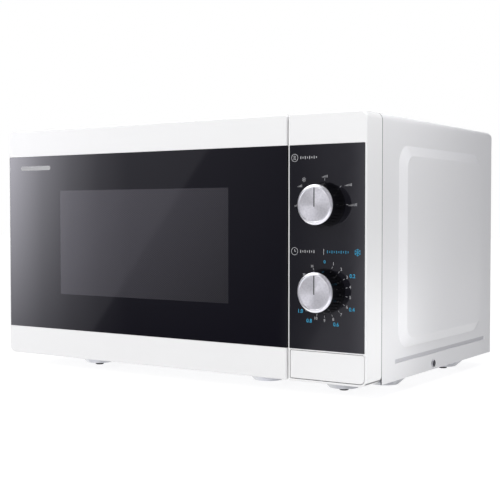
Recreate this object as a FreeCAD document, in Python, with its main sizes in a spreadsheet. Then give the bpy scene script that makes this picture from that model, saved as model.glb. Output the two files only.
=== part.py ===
import FreeCAD, Part
import math
import os
import Sketcher

# Counter-top microwave oven, modelled in millimetres with +Z up and the front facing -Y.
# The origin is the middle of the footprint, on the plane the feet stand on.
# Every sub-part is drawn in one working frame and then placed by its Placement:
# x from the centre line (+x is the control side), y from the front face, z from the floor.

os.makedirs("parts", exist_ok=True)
doc = FreeCAD.newDocument("Microwave")

SIZES = {
    # Case
    "case_width": 440,
    "case_top": 257,
    "case_depth": 301,
    "foot_height": 15,
    "rear_reach": 8,
    "knob_reach": 19.5,
    "front_depth": 29.7,
    "gauge": 1,
    "clearance": 0.4,
    "cabinet_drop": 1.6,
    "cabinet_seam": 0.6,
    "cabinet_corner": 7,
    "emboss_front": 62.8,
    "emboss_rear": 269,
    "emboss_low": 41,
    "emboss_high": 231,
    "emboss_slope": 10.5,
    "emboss_rise": 4.8,
    "emboss_corner": 20,
    "emboss_inner_corner": 12,
    "bead_front": 58,
    "bead_rear": 282,
    "bead_low": 29.3,
    "bead_height": 4,
    "bead_depth": 1.2,
    "screw_depth_place": 143.4,
    "screw_rise": 19.6,
    "screw_radius": 3.4,
    "screw_shank": 1.8,
    "screw_length": 6,
    "screw_head": 1.6,
    "rear_screw_inset": 14,
    "rear_screw_rise": 20,
    "vent_width": 2,
    "vent_length": 68,
    "vent_run": 70,
    "vent_count": 13,
    "outlet_left": -170,
    "outlet_low": 205,
    "outlet_high": 235,
    "outlet_run": 90,
    "outlet_count": 16,
    "spacer_left": -150,
    "spacer_right": -90,
    "spacer_low": 120,
    "spacer_high": 150,
    # Oven cavity, its front plate and turntable
    "cavity_left": -190,
    "cavity_right": 114,
    "cavity_low": 38,
    "cavity_high": 236,
    "cavity_rear": 291,
    "cavity_corner": 10,
    "cavity_vent_front": 60,
    "cavity_vent_width": 3,
    "cavity_vent_low": 190,
    "cavity_vent_high": 215,
    "cavity_vent_run": 56,
    "cavity_vent_count": 9,
    "dial_port_half": 30,
    "timer_port_rise": 34,
    "table_x": -38,
    "table_y": 161,
    "coupler_hole": 9,
    "coupler_radius": 7.5,
    "coupler_low": 39,
    "coupler_high": 51.4,
    "wing_reach": 16,
    "wing_half": 2.2,
    "wing_height": 7,
    "motor_radius": 25,
    "motor_low": 19,
    "motor_high": 33,
    "motor_shaft": 3.5,
    "motor_shaft_top": 44,
    "ring_inner": 80,
    "ring_outer": 86,
    "ring_low": 42,
    "ring_high": 48,
    "roller_radius": 6.7,
    "roller_pitch": 92,
    "roller_width": 5,
    "roller_axle": 1.6,
    "roller_height": 45,
    "tray_low": 52,
    "tray_thick": 4.5,
    "tray_flat": 104,
    "tray_radius": 122.5,
    "tray_rim": 14,
    # Door
    "door_right": 139,
    "door_depth": 28.5,
    "front_corner": 7,
    "seam_corner": 2.2,
    "front_round": 1.5,
    "glass_margin": 1.8,
    "glass_low": 44.4,
    "glass_high": 228.9,
    "glass_thick": 2.8,
    "glass_recess": 3,
    "door_web": 8,
    "web_opening_left": -160,
    "web_opening_right": 90,
    "web_opening_low": 66,
    "web_opening_high": 208,
    "pocket_left": -201,
    "pocket_right": 135.5,
    "pocket_low": 24,
    "pocket_high": 248,
    "pan_left": -199,
    "pan_right": 126,
    "pan_low": 26,
    "pan_high": 246,
    "pan_back": 26,
    "screen_back": 24,
    "film_thick": 0.6,
    "hinge_x": -212,
    "hinge_y": 14,
    "hinge_corner": 8,
    "hinge_pin": 3,
    "hinge_bore": 3.06,
    "hinge_gauge": 2.4,
    "hinge_low": 23,
    "hinge_pin_length": 11.6,
    "hinge_half": 5,
    "hinge_slot_right": -204.3,
    "hinge_slot_front": 6.5,
    "hinge_gap": 0.6,
    "hinge_flange": 20,
    # Latch, release and interlock
    "hook_left": 128.5,
    "hook_right": 133.5,
    "hook_tip": 46,
    "hook_head": 6,
    "hook_height": 8,
    "hook_lip": 3.2,
    "hook_low_z": 70,
    "hook_high_z": 197,
    "latch_low": 60,
    "latch_high": 225,
    "latch_front": 12,
    "latch_back": 18,
    "hook_play": 1,
    "lever_y": 34,
    "lever_z": 60,
    "lever_shaft": 2.5,
    "lever_right": 190,
    "pusher_left": 175,
    "pusher_right": 185,
    "pusher_low": 26,
    "pusher_high": 29,
    "pusher_tip": 31.2,
    "bracket_left": 138,
    "bracket_back": 66,
    "bracket_low": 54,
    "bracket_high": 232,
    "switch_left": 126,
    "switch_front": 48,
    "switch_depth": 16,
    "switch_height": 28,
    "plunger_radius": 1.4,
    "plunger_tip": 46.4,
    # Control panel
    "panel_left": 140.2,
    "panel_wall": 1.3,
    "panel_face": 3,
    "overlay_left": 141.7,
    "overlay_right": 218.5,
    "overlay_low": 44.5,
    "overlay_high": 228.8,
    "overlay_thick": 0.9,
    "button_left": 142.8,
    "button_right": 218.2,
    "button_low": 17.6,
    "button_high": 43,
    "button_depth": 12,
    "button_gap": 0.5,
    "button_corner": 4.5,
    "dial_x": 178.3,
    "power_z": 174.8,
    "timer_z": 97.8,
    "knob_foot": 20.3,
    "knob_neck": 17.9,
    "knob_gap": 0.5,
    "cap_radius": 17.3,
    "cap_thick": 2.6,
    "cap_bevel": 1.4,
    "cap_rim": 0.5,
    "cap_dish": 0.5,
    "rib_count": 36,
    "rib_width": 0.9,
    "rib_depth": 0.6,
    "shaft_radius": 3,
    "shaft_bore": 3.06,
    "shaft_front": -14,
    "control_back": 62,
    "timer_half_width": 26,
    "timer_half_height": 30,
    "selector_half_width": 24,
    "selector_half_height": 22,
    "control_boss_half": 6,
    "control_boss_depth": 17,
    # Components behind the control panel
    "guide_depth": 34,
    "guide_front": 125,
    "guide_rear": 205,
    "guide_low": 148,
    "guide_high": 226,
    "magnetron_width": 50,
    "magnetron_front": 132,
    "magnetron_rear": 198,
    "magnetron_low": 156,
    "magnetron_high": 222,
    "fin_count": 5,
    "anode_radius": 17,
    "antenna_radius": 7,
    "antenna_length": 22,
    "core_left": 150,
    "core_right": 212,
    "core_front": 96,
    "core_rear": 176,
    "core_high": 84,
    "core_window": 14,
    "capacitor_left": 126,
    "capacitor_right": 210,
    "capacitor_front": 226,
    "capacitor_rear": 276,
    "capacitor_low": 16,
    "capacitor_high": 48,
    "fan_x": 170,
    "fan_z": 158,
    "fan_half": 42,
    "fan_bore": 39,
    "fan_front": 264,
    "fan_radius": 36.5,
    "fan_hub": 10,
    "fan_hub_front": 270,
    "fan_hub_rear": 288,
    "fan_shaft": 2,
    "blade_count": 5,
    "blade_chord": 20,
    "blade_thick": 1.6,
    "blade_lean": 35,
    "fan_motor_front": 238,
    "fan_motor_rear": 258,
    "fan_motor_half": 22,
    "lamp_y": 218,
    "lamp_z": 128,
    "lamp_hole": 1.6,
    "lamp_hole_pitch": 5,
    "lamp_box_depth": 30,
    "lamp_box_half_width": 14,
    "lamp_box_half_height": 11,
    "lamp_box_wall": 1.5,
    "cutout_y": 100,
    "cutout_z": 150,
    "cutout_radius": 8,
    "cutout_height": 9,
    "board_left": 130,
    "board_right": 212,
    "board_front": 246,
    "board_rear": 296,
    "board_low": 218,
    "board_thick": 1.6,
    "gland_x": 184,
    "gland_z": 70,
    "gland_radius": 9,
    "gland_bore": 3.6,
    # Base
    "foot_left": -142,
    "foot_right": 166,
    "foot_front": 60,
    "foot_rear": 244,
    "foot_rear_side": 188,
    "foot_radius": 4.6,
    "cup_radius": 38,
    "cup_floor_radius": 14,
    "cup_floor": 3,
    "side_cup_radius": 28,
    "side_cup_y": 100,
    "blind_cup_x": 81,
    "blind_cup_radius": 24,
    "base_flange": 10,
}

sheet = doc.addObject("Spreadsheet::Sheet", "Dims")
for row, (alias, value) in enumerate(SIZES.items(), start=1):
    sheet.set(f"A{row}", alias)
    sheet.set(f"B{row}", str(value))
    sheet.setAlias(f"B{row}", alias)
doc.recompute()


class Size:
    """A dimension that carries both its number and the sheet formula behind it."""

    def __init__(self, number, formula):
        self.number = float(number)
        self.formula = formula

    def join(self, sign, other, number):
        return Size(number, f"({self.formula} {sign} {other.formula})")

    def __add__(self, other):
        other = size(other)
        return self.join("+", other, self.number + other.number)

    def __sub__(self, other):
        other = size(other)
        return self.join("-", other, self.number - other.number)

    def __mul__(self, other):
        other = size(other)
        return self.join("*", other, self.number * other.number)

    def __truediv__(self, other):
        other = size(other)
        return self.join("/", other, self.number / other.number)

    def __radd__(self, other):
        return size(other) + self

    def __rsub__(self, other):
        return size(other) - self

    def __rmul__(self, other):
        return size(other) * self

    def __neg__(self):
        return size(0) - self


def size(value):
    """Turn a plain number into a Size; a Size is returned as it is."""
    if isinstance(value, Size):
        return value
    return Size(value, f"({value})")


class Sheet:
    """Reads a driving dimension by its alias, as in D.case_width."""

    def __getattr__(self, alias):
        return Size(sheet.get(alias), f"Dims.{alias}")


D = Sheet()

LEFT = -(D.case_width / 2)
RIGHT = D.case_width / 2
BOTTOM = D.foot_height
TOP = D.case_top
FRONT_SHIFT = -((D.case_depth + D.rear_reach - D.knob_reach) / 2)
BACK_OF_FRONT = D.front_depth
PLATE_BACK = D.front_depth + D.gauge
NODES = []


def bind(thing, path, value):
    thing.setExpression(path, size(value).formula)


def place(thing, x=0, y=0, z=0):
    """Give a sub-part its Placement in the object's frame."""
    bind(thing, "Placement.Base.x", x)
    bind(thing, "Placement.Base.y", FRONT_SHIFT + y)
    bind(thing, "Placement.Base.z", z)


def node(thing, name):
    """Register a finished sub-part under its node name."""
    thing.Label = name
    NODES.append(thing)
    return thing


# Sketch outlines. Each returns a function that draws on a sketch.

def pinned(index, corner, x, y):
    """Constraints that hold one point of a sketch at (x, y)."""
    x, y = size(x), size(y)
    return [
        (Sketcher.Constraint("DistanceX", -1, 1, index, corner, x.number), x.formula),
        (Sketcher.Constraint("DistanceY", -1, 1, index, corner, y.number), y.formula),
    ]


def commit(sketch, geometry, constraints):
    """Add geometry and constraints; each constraint may carry a sheet formula."""
    sketch.addGeometry(geometry, False)
    rows = sketch.addConstraint([constraint for constraint, formula in constraints])
    for row, (constraint, formula) in zip(rows, constraints):
        if formula:
            sketch.setExpression(f"Constraints[{row}]", formula)


def circle(x, y, radius):
    def draw(sketch):
        index = sketch.GeometryCount
        x_, y_, radius_ = size(x), size(y), size(radius)
        centre = FreeCAD.Vector(x_.number, y_.number, 0)
        ring = Part.Circle(centre, FreeCAD.Vector(0, 0, 1), radius_.number)
        limit = (Sketcher.Constraint("Radius", index, radius_.number), radius_.formula)
        commit(sketch, [ring], pinned(index, 3, x_, y_) + [limit])
    return draw


def polygon(*points):
    def draw(sketch):
        first = sketch.GeometryCount
        corners = [(size(x), size(y)) for x, y in points]
        lines, constraints = [], []
        for number, start in enumerate(corners):
            end = corners[(number + 1) % len(corners)]
            lines.append(Part.LineSegment(
                FreeCAD.Vector(start[0].number, start[1].number, 0),
                FreeCAD.Vector(end[0].number, end[1].number, 0)))
            following = first + (number + 1) % len(corners)
            joint = Sketcher.Constraint("Coincident", first + number, 2, following, 1)
            constraints.append((joint, None))
            constraints += pinned(first + number, 1, *start)
        commit(sketch, lines, constraints)
    return draw


def rectangle(x0, y0, x1, y1, radii=None):
    """A rectangle; radii is one corner radius, or four from lower left anticlockwise."""
    if radii is None:
        return polygon((x0, y0), (x1, y0), (x1, y1), (x0, y1))
    radii = radii if isinstance(radii, (list, tuple)) else [radii] * 4
    radii = [size(radius) for radius in radii]
    corners = [(size(x), size(y)) for x, y in ((x0, y0), (x1, y0), (x1, y1), (x0, y1))]
    arriving = [(0, 1), (-1, 0), (0, -1), (1, 0)]
    leaving = [(1, 0), (0, 1), (-1, 0), (0, -1)]

    def shifted(corner, way, radius):
        return corner[0] + way[0] * radius, corner[1] + way[1] * radius

    def draw(sketch):
        first = sketch.GeometryCount
        shapes, constraints = [], []
        for side in range(4):
            after = (side + 1) % 4
            start = shifted(corners[side], leaving[side], radii[side])
            end = shifted(corners[after], arriving[after], radii[after])
            shapes.append(Part.LineSegment(
                FreeCAD.Vector(start[0].number, start[1].number, 0),
                FreeCAD.Vector(end[0].number, end[1].number, 0)))
            constraints += pinned(first + side, 1, *start)
            if radii[after].number:
                constraints += pinned(first + side, 2, *end)
        arc = first + 4
        for side in range(4):
            radius = radii[side].number
            before = first + (side + 3) % 4
            if not radius:
                joint = Sketcher.Constraint("Coincident", before, 2, first + side, 1)
                constraints.append((joint, None))
                continue
            away = (arriving[side][0] + leaving[side][0], arriving[side][1] + leaving[side][1])
            middle = shifted(corners[side], away, radii[side])
            ring = Part.Circle(
                FreeCAD.Vector(middle[0].number, middle[1].number, 0),
                FreeCAD.Vector(0, 0, 1), radius)
            turn = math.radians(180 + 90 * side)
            shapes.append(Part.ArcOfCircle(ring, turn, turn + math.pi / 2))
            constraints.append((Sketcher.Constraint("Coincident", arc, 1, before, 2), None))
            constraints.append((Sketcher.Constraint("Coincident", arc, 2, first + side, 1), None))
            constraints.append((Sketcher.Constraint("Radius", arc, radius), radii[side].formula))
            arc += 1
        commit(sketch, shapes, constraints)
    return draw


# Part Design features. A slab or cut runs between two planes square to one axis:
# "XY" is measured along z, "XZ" along y and "YZ" along x.

def new_body(name, x=0, y=0, z=0):
    body = doc.addObject("PartDesign::Body", name)
    place(body, x, y, z)
    return node(body, name)


def new_sketch(body, plane, offset, shapes):
    sketch = body.newObject("Sketcher::SketchObject", f"{body.Name}_sketch")
    role = f"{plane}_Plane"
    support = next(item for item in body.Origin.OriginFeatures if item.Role == role)
    sketch.AttachmentSupport = [(support, "")]
    sketch.MapMode = "FlatFace"
    # The XZ plane's normal points along -Y.
    bind(sketch, "AttachmentOffset.Base.z", -size(offset) if plane == "XZ" else offset)
    for draw in shapes:
        draw(sketch)
    return sketch


def slab(body, plane, low, high, *shapes):
    """Add material between two planes."""
    sketch = new_sketch(body, plane, low, shapes)
    pad = body.newObject("PartDesign::Pad", f"{body.Name}_pad")
    pad.Profile = sketch
    pad.Reversed = plane == "XZ"
    bind(pad, "Length", size(high) - low)
    return pad


def cut(body, plane, low, high, *shapes):
    """Take material away between two planes."""
    start = low if plane == "XZ" else high
    sketch = new_sketch(body, plane, start, shapes)
    pocket = body.newObject("PartDesign::Pocket", f"{body.Name}_pocket")
    pocket.Profile = sketch
    bind(pocket, "Length", size(high) - low)
    return pocket


def loft(body, kind, plane, stations):
    """Blend between two outlines; kind is Additive or Subtractive."""
    sketches = [new_sketch(body, plane, offset, [shape]) for offset, shape in stations]
    feature = body.newObject(f"PartDesign::{kind}Loft", f"{body.Name}_loft")
    feature.Profile = sketches[0]
    feature.Sections = sketches[1:]
    feature.Ruled = True
    return feature


def turned(body, plane, axis, outline):
    """Revolve an outline about the sketch's H_Axis or V_Axis."""
    sketch = new_sketch(body, plane, 0, [outline])
    feature = body.newObject("PartDesign::Revolution", f"{body.Name}_turned")
    feature.Profile = sketch
    feature.ReferenceAxis = (sketch, [axis])
    feature.Angle = 360
    return feature


def polar(body, feature, axis_role, count):
    """Repeat a feature round one of the body's own axes."""
    axis = next(item for item in body.Origin.OriginFeatures if item.Role == axis_role)
    pattern = body.newObject("PartDesign::PolarPattern", f"{body.Name}_polar")
    pattern.Originals = [feature]
    pattern.Axis = (axis, [""])
    pattern.Angle = 360
    bind(pattern, "Occurrences", count)
    body.Tip = pattern
    return pattern


def linear(body, feature, axis_role, length, count):
    """Repeat a feature along one of the body's own axes."""
    axis = next(item for item in body.Origin.OriginFeatures if item.Role == axis_role)
    pattern = body.newObject("PartDesign::LinearPattern", f"{body.Name}_linear")
    pattern.Originals = [feature]
    pattern.Direction = (axis, [""])
    bind(pattern, "Length", length)
    bind(pattern, "Occurrences", count)
    body.Tip = pattern
    return pattern


def round_edges(body, radius, chosen):
    """Fillet the edges of the tip for which chosen(edge) is true."""
    doc.recompute()
    base = body.Tip
    names = [f"Edge{index}" for index, edge in enumerate(base.Shape.Edges, start=1) if chosen(edge)]
    fillet = body.newObject("PartDesign::Fillet", f"{body.Name}_fillet")
    fillet.Base = (base, names)
    bind(fillet, "Radius", radius)
    return fillet


def front_edges(edge):
    """Edges that lie wholly in the front face of a body."""
    return abs(edge.BoundBox.YMin) < 1e-4 and abs(edge.BoundBox.YMax) < 1e-4


# Part primitives, drawn in the working frame and joined by booleans.

def block(x0, y0, z0, x1, y1, z1):
    box = doc.addObject("Part::Box", "Block")
    bind(box, "Length", size(x1) - x0)
    bind(box, "Width", size(y1) - y0)
    bind(box, "Height", size(z1) - z0)
    bind(box, "Placement.Base.x", x0)
    bind(box, "Placement.Base.y", y0)
    bind(box, "Placement.Base.z", z0)
    return box


TURNS = {
    "X": FreeCAD.Rotation(FreeCAD.Vector(0, 1, 0), 90),
    "Y": FreeCAD.Rotation(FreeCAD.Vector(1, 0, 0), -90),
    "Z": FreeCAD.Rotation(),
}


def rod(axis, x, y, z, radius, length):
    """A cylinder that runs from (x, y, z) along +X, +Y or +Z."""
    cylinder = doc.addObject("Part::Cylinder", "Rod")
    bind(cylinder, "Radius", radius)
    bind(cylinder, "Height", length)
    cylinder.Placement.Rotation = TURNS[axis]
    bind(cylinder, "Placement.Base.x", x)
    bind(cylinder, "Placement.Base.y", y)
    bind(cylinder, "Placement.Base.z", z)
    return cylinder


def ordered(first, second):
    """Two planes in rising order."""
    return (first, second) if first.number < second.number else (second, first)


def fused(name, pieces):
    joined = doc.addObject("Part::MultiFuse", name)
    joined.Shapes = pieces
    return joined


def less(name, base, tool):
    difference = doc.addObject("Part::Cut", name)
    difference.Base = base
    difference.Tool = tool
    return difference


def finished(name, thing):
    """Place a boolean result and register it as a sub-part."""
    place(thing)
    return node(thing, name)


def group(name, pieces):
    """Several identical separate solids in one node."""
    bundle = doc.addObject("Part::Compound", name)
    bundle.Links = pieces
    return finished(name, bundle)


# ---------------------------------------------------------------- case

def make_outer_cabinet():
    """The wrap-round steel cover: top and two sides, with a raised panel on each side."""
    body = new_body("outer_cabinet")
    low = BOTTOM - D.cabinet_drop
    wall = D.gauge
    edge = 0.5
    outer = D.cabinet_corner
    inner = outer - wall
    front = BACK_OF_FRONT + D.cabinet_seam
    slab(body, "XZ", front, D.case_depth, rectangle(LEFT, low, RIGHT, TOP, [edge, edge, outer, outer]))
    cut(body, "XZ", front, D.case_depth,
        rectangle(LEFT + wall, low - 1, RIGHT - wall, TOP - wall, [edge, edge, inner, inner]))
    inset = D.emboss_slope

    def outline(shrink, radius):
        return rectangle(D.emboss_front + shrink, D.emboss_low + shrink,
                         D.emboss_rear - shrink, D.emboss_high - shrink, radius)

    for side in (1, -1):
        face = RIGHT * side
        rise = D.emboss_rise * side
        loft(body, "Additive", "YZ", [
            (face - wall * side / 2, outline(0, D.emboss_corner)),
            (face + rise, outline(inset, D.emboss_inner_corner))])
        loft(body, "Subtractive", "YZ", [
            (face - wall * side * 1.5, outline(wall, D.emboss_corner - wall)),
            (face + rise - wall * side, outline(inset + wall, D.emboss_inner_corner - wall))])
        within, middle = face - (wall + D.bead_depth) * side, face - wall * side / 2
        bead = rectangle(D.bead_front - 2, D.bead_low - 2, D.bead_rear + 2, D.bead_low + D.bead_height + 2)
        groove = rectangle(D.bead_front, D.bead_low, D.bead_rear, D.bead_low + D.bead_height, 0.8)
        slab(body, "YZ", *ordered(within, middle), bead)
        cut(body, "YZ", *ordered(face - D.bead_depth * side, face + side), groove)
        hole = circle(D.screw_depth_place, D.screw_rise, D.screw_shank)
        cut(body, "YZ", *ordered(face - 2 * side, face + 2 * side), hole)


def make_rear_panel():
    """Flat steel back with air slots, a wall spacer and the hole for the cord gland."""
    body = new_body("rear_panel")
    front = D.case_depth - 2 * D.gauge
    back = D.case_depth - D.gauge
    edge = D.gauge + D.clearance
    slab(body, "XZ", front, back,
         rectangle(LEFT + edge, BOTTOM + D.gauge, RIGHT - edge, TOP - edge, 6))
    cut(body, "XZ", front - 1, back + 1, circle(D.gland_x, D.gland_z, D.gland_radius - 2))
    width, half = D.vent_width, D.vent_length / 2
    left = D.fan_x - (D.vent_run + width) / 2
    slot_end = 0.9
    slot = cut(body, "XZ", front - 1, back + 1,
               rectangle(left, D.fan_z - half, left + width, D.fan_z + half, slot_end))
    linear(body, slot, "X_Axis", D.vent_run, D.vent_count)
    left = D.outlet_left
    outlet = cut(body, "XZ", front - 1, back + 1,
                 rectangle(left, D.outlet_low, left + width, D.outlet_high, slot_end))
    linear(body, outlet, "X_Axis", D.outlet_run, D.outlet_count)
    slab(body, "XZ", back - 0.5, D.case_depth + D.rear_reach,
         rectangle(D.spacer_left, D.spacer_low, D.spacer_right, D.spacer_high, 5))


def make_base_plate():
    """Steel floor with turned-up edges and deep cups pressed down at the feet."""
    body = new_body("base_plate")
    gauge = D.gauge
    edge = D.gauge + D.clearance
    low = D.foot_height
    front, back = PLATE_BACK + 2, D.case_depth - 2 * D.gauge - 0.3
    tray = [LEFT + edge, front, RIGHT - edge, back]
    slab(body, "XY", low, low + D.base_flange, rectangle(*tray, 4))
    cut(body, "XY", low + gauge, low + D.base_flange,
        rectangle(tray[0] + gauge, tray[1] + gauge, tray[2] - gauge, tray[3] - gauge, 3))
    cups = []
    for name, (x, y) in foot_places().items():
        cups.append((x, y, D.cup_radius if "front" in name else D.side_cup_radius))
    blind = [(D.blind_cup_x, D.foot_front, D.blind_cup_radius),
             (D.foot_rear_side, D.side_cup_y, D.side_cup_radius)]
    # The front cups are kept small enough to stop short of the front plate.
    for x, y, radius in cups + blind:
        reach = min(radius.number, (y - front).number - 2)
        press_cup(body, x, y, size(reach))
    for x, y, radius in cups:
        cut(body, "XY", D.cup_floor - 1, D.cup_floor + 2, circle(x, y, 2.5))
    cut(body, "XY", low - 1, low + 2, circle(D.table_x, D.table_y, 4))
    screw = circle(D.screw_depth_place, D.screw_rise, D.screw_shank)
    cut(body, "YZ", LEFT, LEFT + 6, screw)
    cut(body, "YZ", RIGHT - 6, RIGHT, screw)


def foot_places():
    """Where each foot stands; the rear pair is set wider than the front pair."""
    return {
        "foot_front_left": (D.foot_left, D.foot_front),
        "foot_front_right": (D.foot_right, D.foot_front),
        "foot_rear_left": (-D.foot_rear_side, D.foot_rear),
        "foot_rear_right": (D.foot_rear_side, D.foot_rear)}


def press_cup(body, x, y, radius):
    """Draw one cup down from the plate: a hollow cone with a flat floor."""
    gauge = D.gauge
    top = D.foot_height
    loft(body, "Additive", "XY", [
        (D.cup_floor, circle(x, y, D.cup_floor_radius)),
        (top + gauge / 2, circle(x, y, radius))])
    loft(body, "Subtractive", "XY", [
        (D.cup_floor + gauge, circle(x, y, D.cup_floor_radius - gauge)),
        (top + gauge + 0.2, circle(x, y, radius - gauge))])


def make_feet():
    """Four rubber buttons, each with a stem that snaps through the floor of its cup."""
    stem = 2.4
    head = 3.3
    for name, (x, y) in foot_places().items():
        body = new_body(name, x, y)
        floor = D.cup_floor
        turned(body, "XZ", "V_Axis", polygon(
            (0, 0), (D.foot_radius - 0.8, 0), (D.foot_radius, 0.8), (D.foot_radius, floor), (stem, floor),
            (stem, floor + D.gauge), (head, floor + D.gauge), (stem - 0.6, floor + 5), (0, floor + 5)))


def make_cabinet_screws():
    """Pan-head screws: one in each side of the cover and four in the back."""
    pieces = []
    for side in (1, -1):
        outer = RIGHT * side
        inner = outer - D.screw_length * side
        low, high = ordered(inner, outer)
        shank = rod("X", low, D.screw_depth_place, D.screw_rise, D.screw_shank - 0.1, high - low)
        low, high = ordered(outer, outer + D.screw_head * side)
        head = rod("X", low, D.screw_depth_place, D.screw_rise, D.screw_radius, high - low)
        pieces.append(fused("SideScrew", [shank, head]))
    back = D.case_depth - D.gauge
    for x in (LEFT + D.rear_screw_inset, RIGHT - D.rear_screw_inset):
        for z in (BOTTOM + D.rear_screw_rise, TOP - D.rear_screw_inset):
            pieces.append(rod("Y", x, back, z, D.screw_radius, D.screw_head))
    group("cabinet_screws", pieces)


def make_cord_gland():
    """Plastic bush that clips into the back and leads the supply cord out."""
    body = new_body("cord_gland", D.gland_x, 0, D.gland_z)
    back = D.case_depth - D.gauge
    inside = back - D.gauge
    neck = D.gland_radius - 2
    slab(body, "XZ", inside - 4, back + 4, circle(0, 0, neck - 0.05))
    slab(body, "XZ", back, back + 3, circle(0, 0, D.gland_radius))
    slab(body, "XZ", inside - 2, inside, circle(0, 0, neck + 1))
    cut(body, "XZ", inside - 5, back + 5, circle(0, 0, D.gland_bore))


# ---------------------------------------------------------------- oven

def cavity_outline(grow):
    return rectangle(D.cavity_left - grow, D.cavity_low - grow, D.cavity_right + grow, D.cavity_high + grow,
                     D.cavity_corner + grow)


def make_oven_cavity():
    """Welded steel box, open at the front, with ports for the waveguide, lamp and coupler."""
    body = new_body("oven_cavity")
    gauge = D.gauge
    slab(body, "XZ", PLATE_BACK, D.cavity_rear + gauge, cavity_outline(gauge))
    cut(body, "XZ", PLATE_BACK, D.cavity_rear, cavity_outline(0))
    cut(body, "XY", D.cavity_low - 2, D.cavity_low + 2, circle(D.table_x, D.table_y, D.coupler_hole))
    right = D.cavity_right
    cut(body, "YZ", right - 1, right + 2, rectangle(D.guide_front + 8, D.guide_low + 8,
                                                    D.guide_rear - 8, D.guide_high - 8, 3))
    for step in range(-2, 3):
        hole = circle(D.lamp_y + D.lamp_hole_pitch * step, D.lamp_z, D.lamp_hole)
        cut(body, "YZ", right - 1, right + 2, hole)
    # The left wall lets the cooling air out.
    start = D.cavity_vent_front
    vent = cut(body, "YZ", D.cavity_left - 2, D.cavity_left + 1,
               rectangle(start, D.cavity_vent_low, start + D.cavity_vent_width, D.cavity_vent_high, 1.2))
    linear(body, vent, "Y_Axis", D.cavity_vent_run, D.cavity_vent_count)


def make_front_plate():
    """Steel plate that frames the mouth of the cavity and carries hinges and latch ports."""
    body = new_body("front_plate")
    edge = D.gauge + D.clearance
    slab(body, "XZ", BACK_OF_FRONT, PLATE_BACK,
         rectangle(LEFT + edge, BOTTOM, RIGHT - edge, TOP - edge, 5))
    ports = [cavity_outline(0)]
    play = D.hook_play + 1.5
    for z in (D.hook_low_z, D.hook_high_z):
        ports.append(rectangle(D.hook_left - play, z - 8, D.hook_right + play, z + 14))
    ports.append(rectangle(D.pusher_left - 2, D.pusher_low - 2, D.pusher_right + 2, D.pusher_high + 2))
    half = D.dial_port_half
    for z, rise in ((D.timer_z, D.timer_port_rise), (D.power_z, half)):
        ports.append(rectangle(D.dial_x - half, z - rise, D.dial_x + half, z + rise, 4))
    left, right = D.hinge_x - D.hinge_half - 0.4, D.hinge_x + D.hinge_half + 2.4
    for low in hinge_levels():
        ports.append(rectangle(left, low - 0.2, right, low + D.hinge_gauge + 0.2))
    for port in ports:
        cut(body, "XZ", BACK_OF_FRONT - 1, PLATE_BACK + 1, port)


def make_waveguide():
    """Open-sided duct on the right wall that leads from the magnetron into the cavity."""
    body = new_body("waveguide")
    gauge = D.gauge
    near = D.cavity_right + gauge
    far = near + D.guide_depth
    slab(body, "YZ", near, far, rectangle(D.guide_front, D.guide_low, D.guide_rear, D.guide_high, 4))
    cut(body, "YZ", near, far - gauge, rectangle(D.guide_front + gauge, D.guide_low + gauge,
                                                 D.guide_rear - gauge, D.guide_high - gauge, 3))
    middle = (D.magnetron_front + D.magnetron_rear) / 2
    height = (D.magnetron_low + D.magnetron_high) / 2
    cut(body, "YZ", far - 2, far + 1, circle(middle, height, D.antenna_radius + 2))


def make_waveguide_cover():
    """Mica sheet over the waveguide port, inside the cavity."""
    body = new_body("waveguide_cover")
    slab(body, "YZ", D.cavity_right - 0.6, D.cavity_right,
         rectangle(D.guide_front + 2, D.guide_low + 2, D.guide_rear - 2, D.guide_high - 2, 2))


def make_lamp():
    """Oven lamp behind the perforated right wall, and its holder."""
    wall = D.cavity_right + D.gauge
    holder = new_body("lamp_holder", 0, D.lamp_y, D.lamp_z)
    depth, width, height = D.lamp_box_depth, D.lamp_box_half_width, D.lamp_box_half_height
    inside, within = width - D.lamp_box_wall, height - D.lamp_box_wall
    slab(holder, "YZ", wall, wall + depth, rectangle(-width, -height, width, height, 3))
    cut(holder, "YZ", wall, wall + depth - 2, rectangle(-inside, -within, inside, within, 2))
    cut(holder, "YZ", wall + depth - 3, wall + depth + 1, circle(0, 0, 5))
    bulb = new_body("cavity_lamp", wall, D.lamp_y, D.lamp_z)
    turned(bulb, "XZ", "H_Axis", polygon(
        (3, 0), (3.6, 2.6), (5.5, 4.6), (9, 5.6), (14, 5.6), (18, 4.9), (36, 4.9), (36, 0)))


def make_magnetron():
    """Valve body with cooling fins, and the antenna that stands in the waveguide."""
    near = D.cavity_right + D.gauge + D.guide_depth
    far = near + D.magnetron_width
    front, rear = D.magnetron_front, D.magnetron_rear
    low, high = D.magnetron_low, D.magnetron_high
    middle, height = (front + rear) / 2, (low + high) / 2
    wall = 2
    yoke = block(near, front, low, far, rear, high)
    window = block(near + wall, front - 1, low + wall, far - wall, rear + 1, high - wall)
    pieces = [less("Yoke", yoke, window)]
    pieces.append(rod("X", near, middle, height, D.anode_radius, D.magnetron_width))
    gap = (D.magnetron_width - 2 * wall) / (D.fin_count + 1)
    for step in range(SIZES["fin_count"]):
        at = near + wall + gap * (step + 1)
        pieces.append(block(at - 0.5, front + 2, low + wall, at + 0.5, rear - 2, high - wall))
    pieces.append(block(near + 12, front + 20, low - 14, far - 12, rear - 20, low + 1))
    finished("magnetron", fused("Magnetron", pieces))
    antenna = new_body("magnetron_antenna", near, middle, height)
    reach = -D.antenna_length
    radius = D.antenna_radius
    turned(antenna, "XZ", "H_Axis", polygon(
        (0, 0), (0, radius), (reach + 2, radius), (reach, radius - 2), (reach, 0)))


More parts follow.
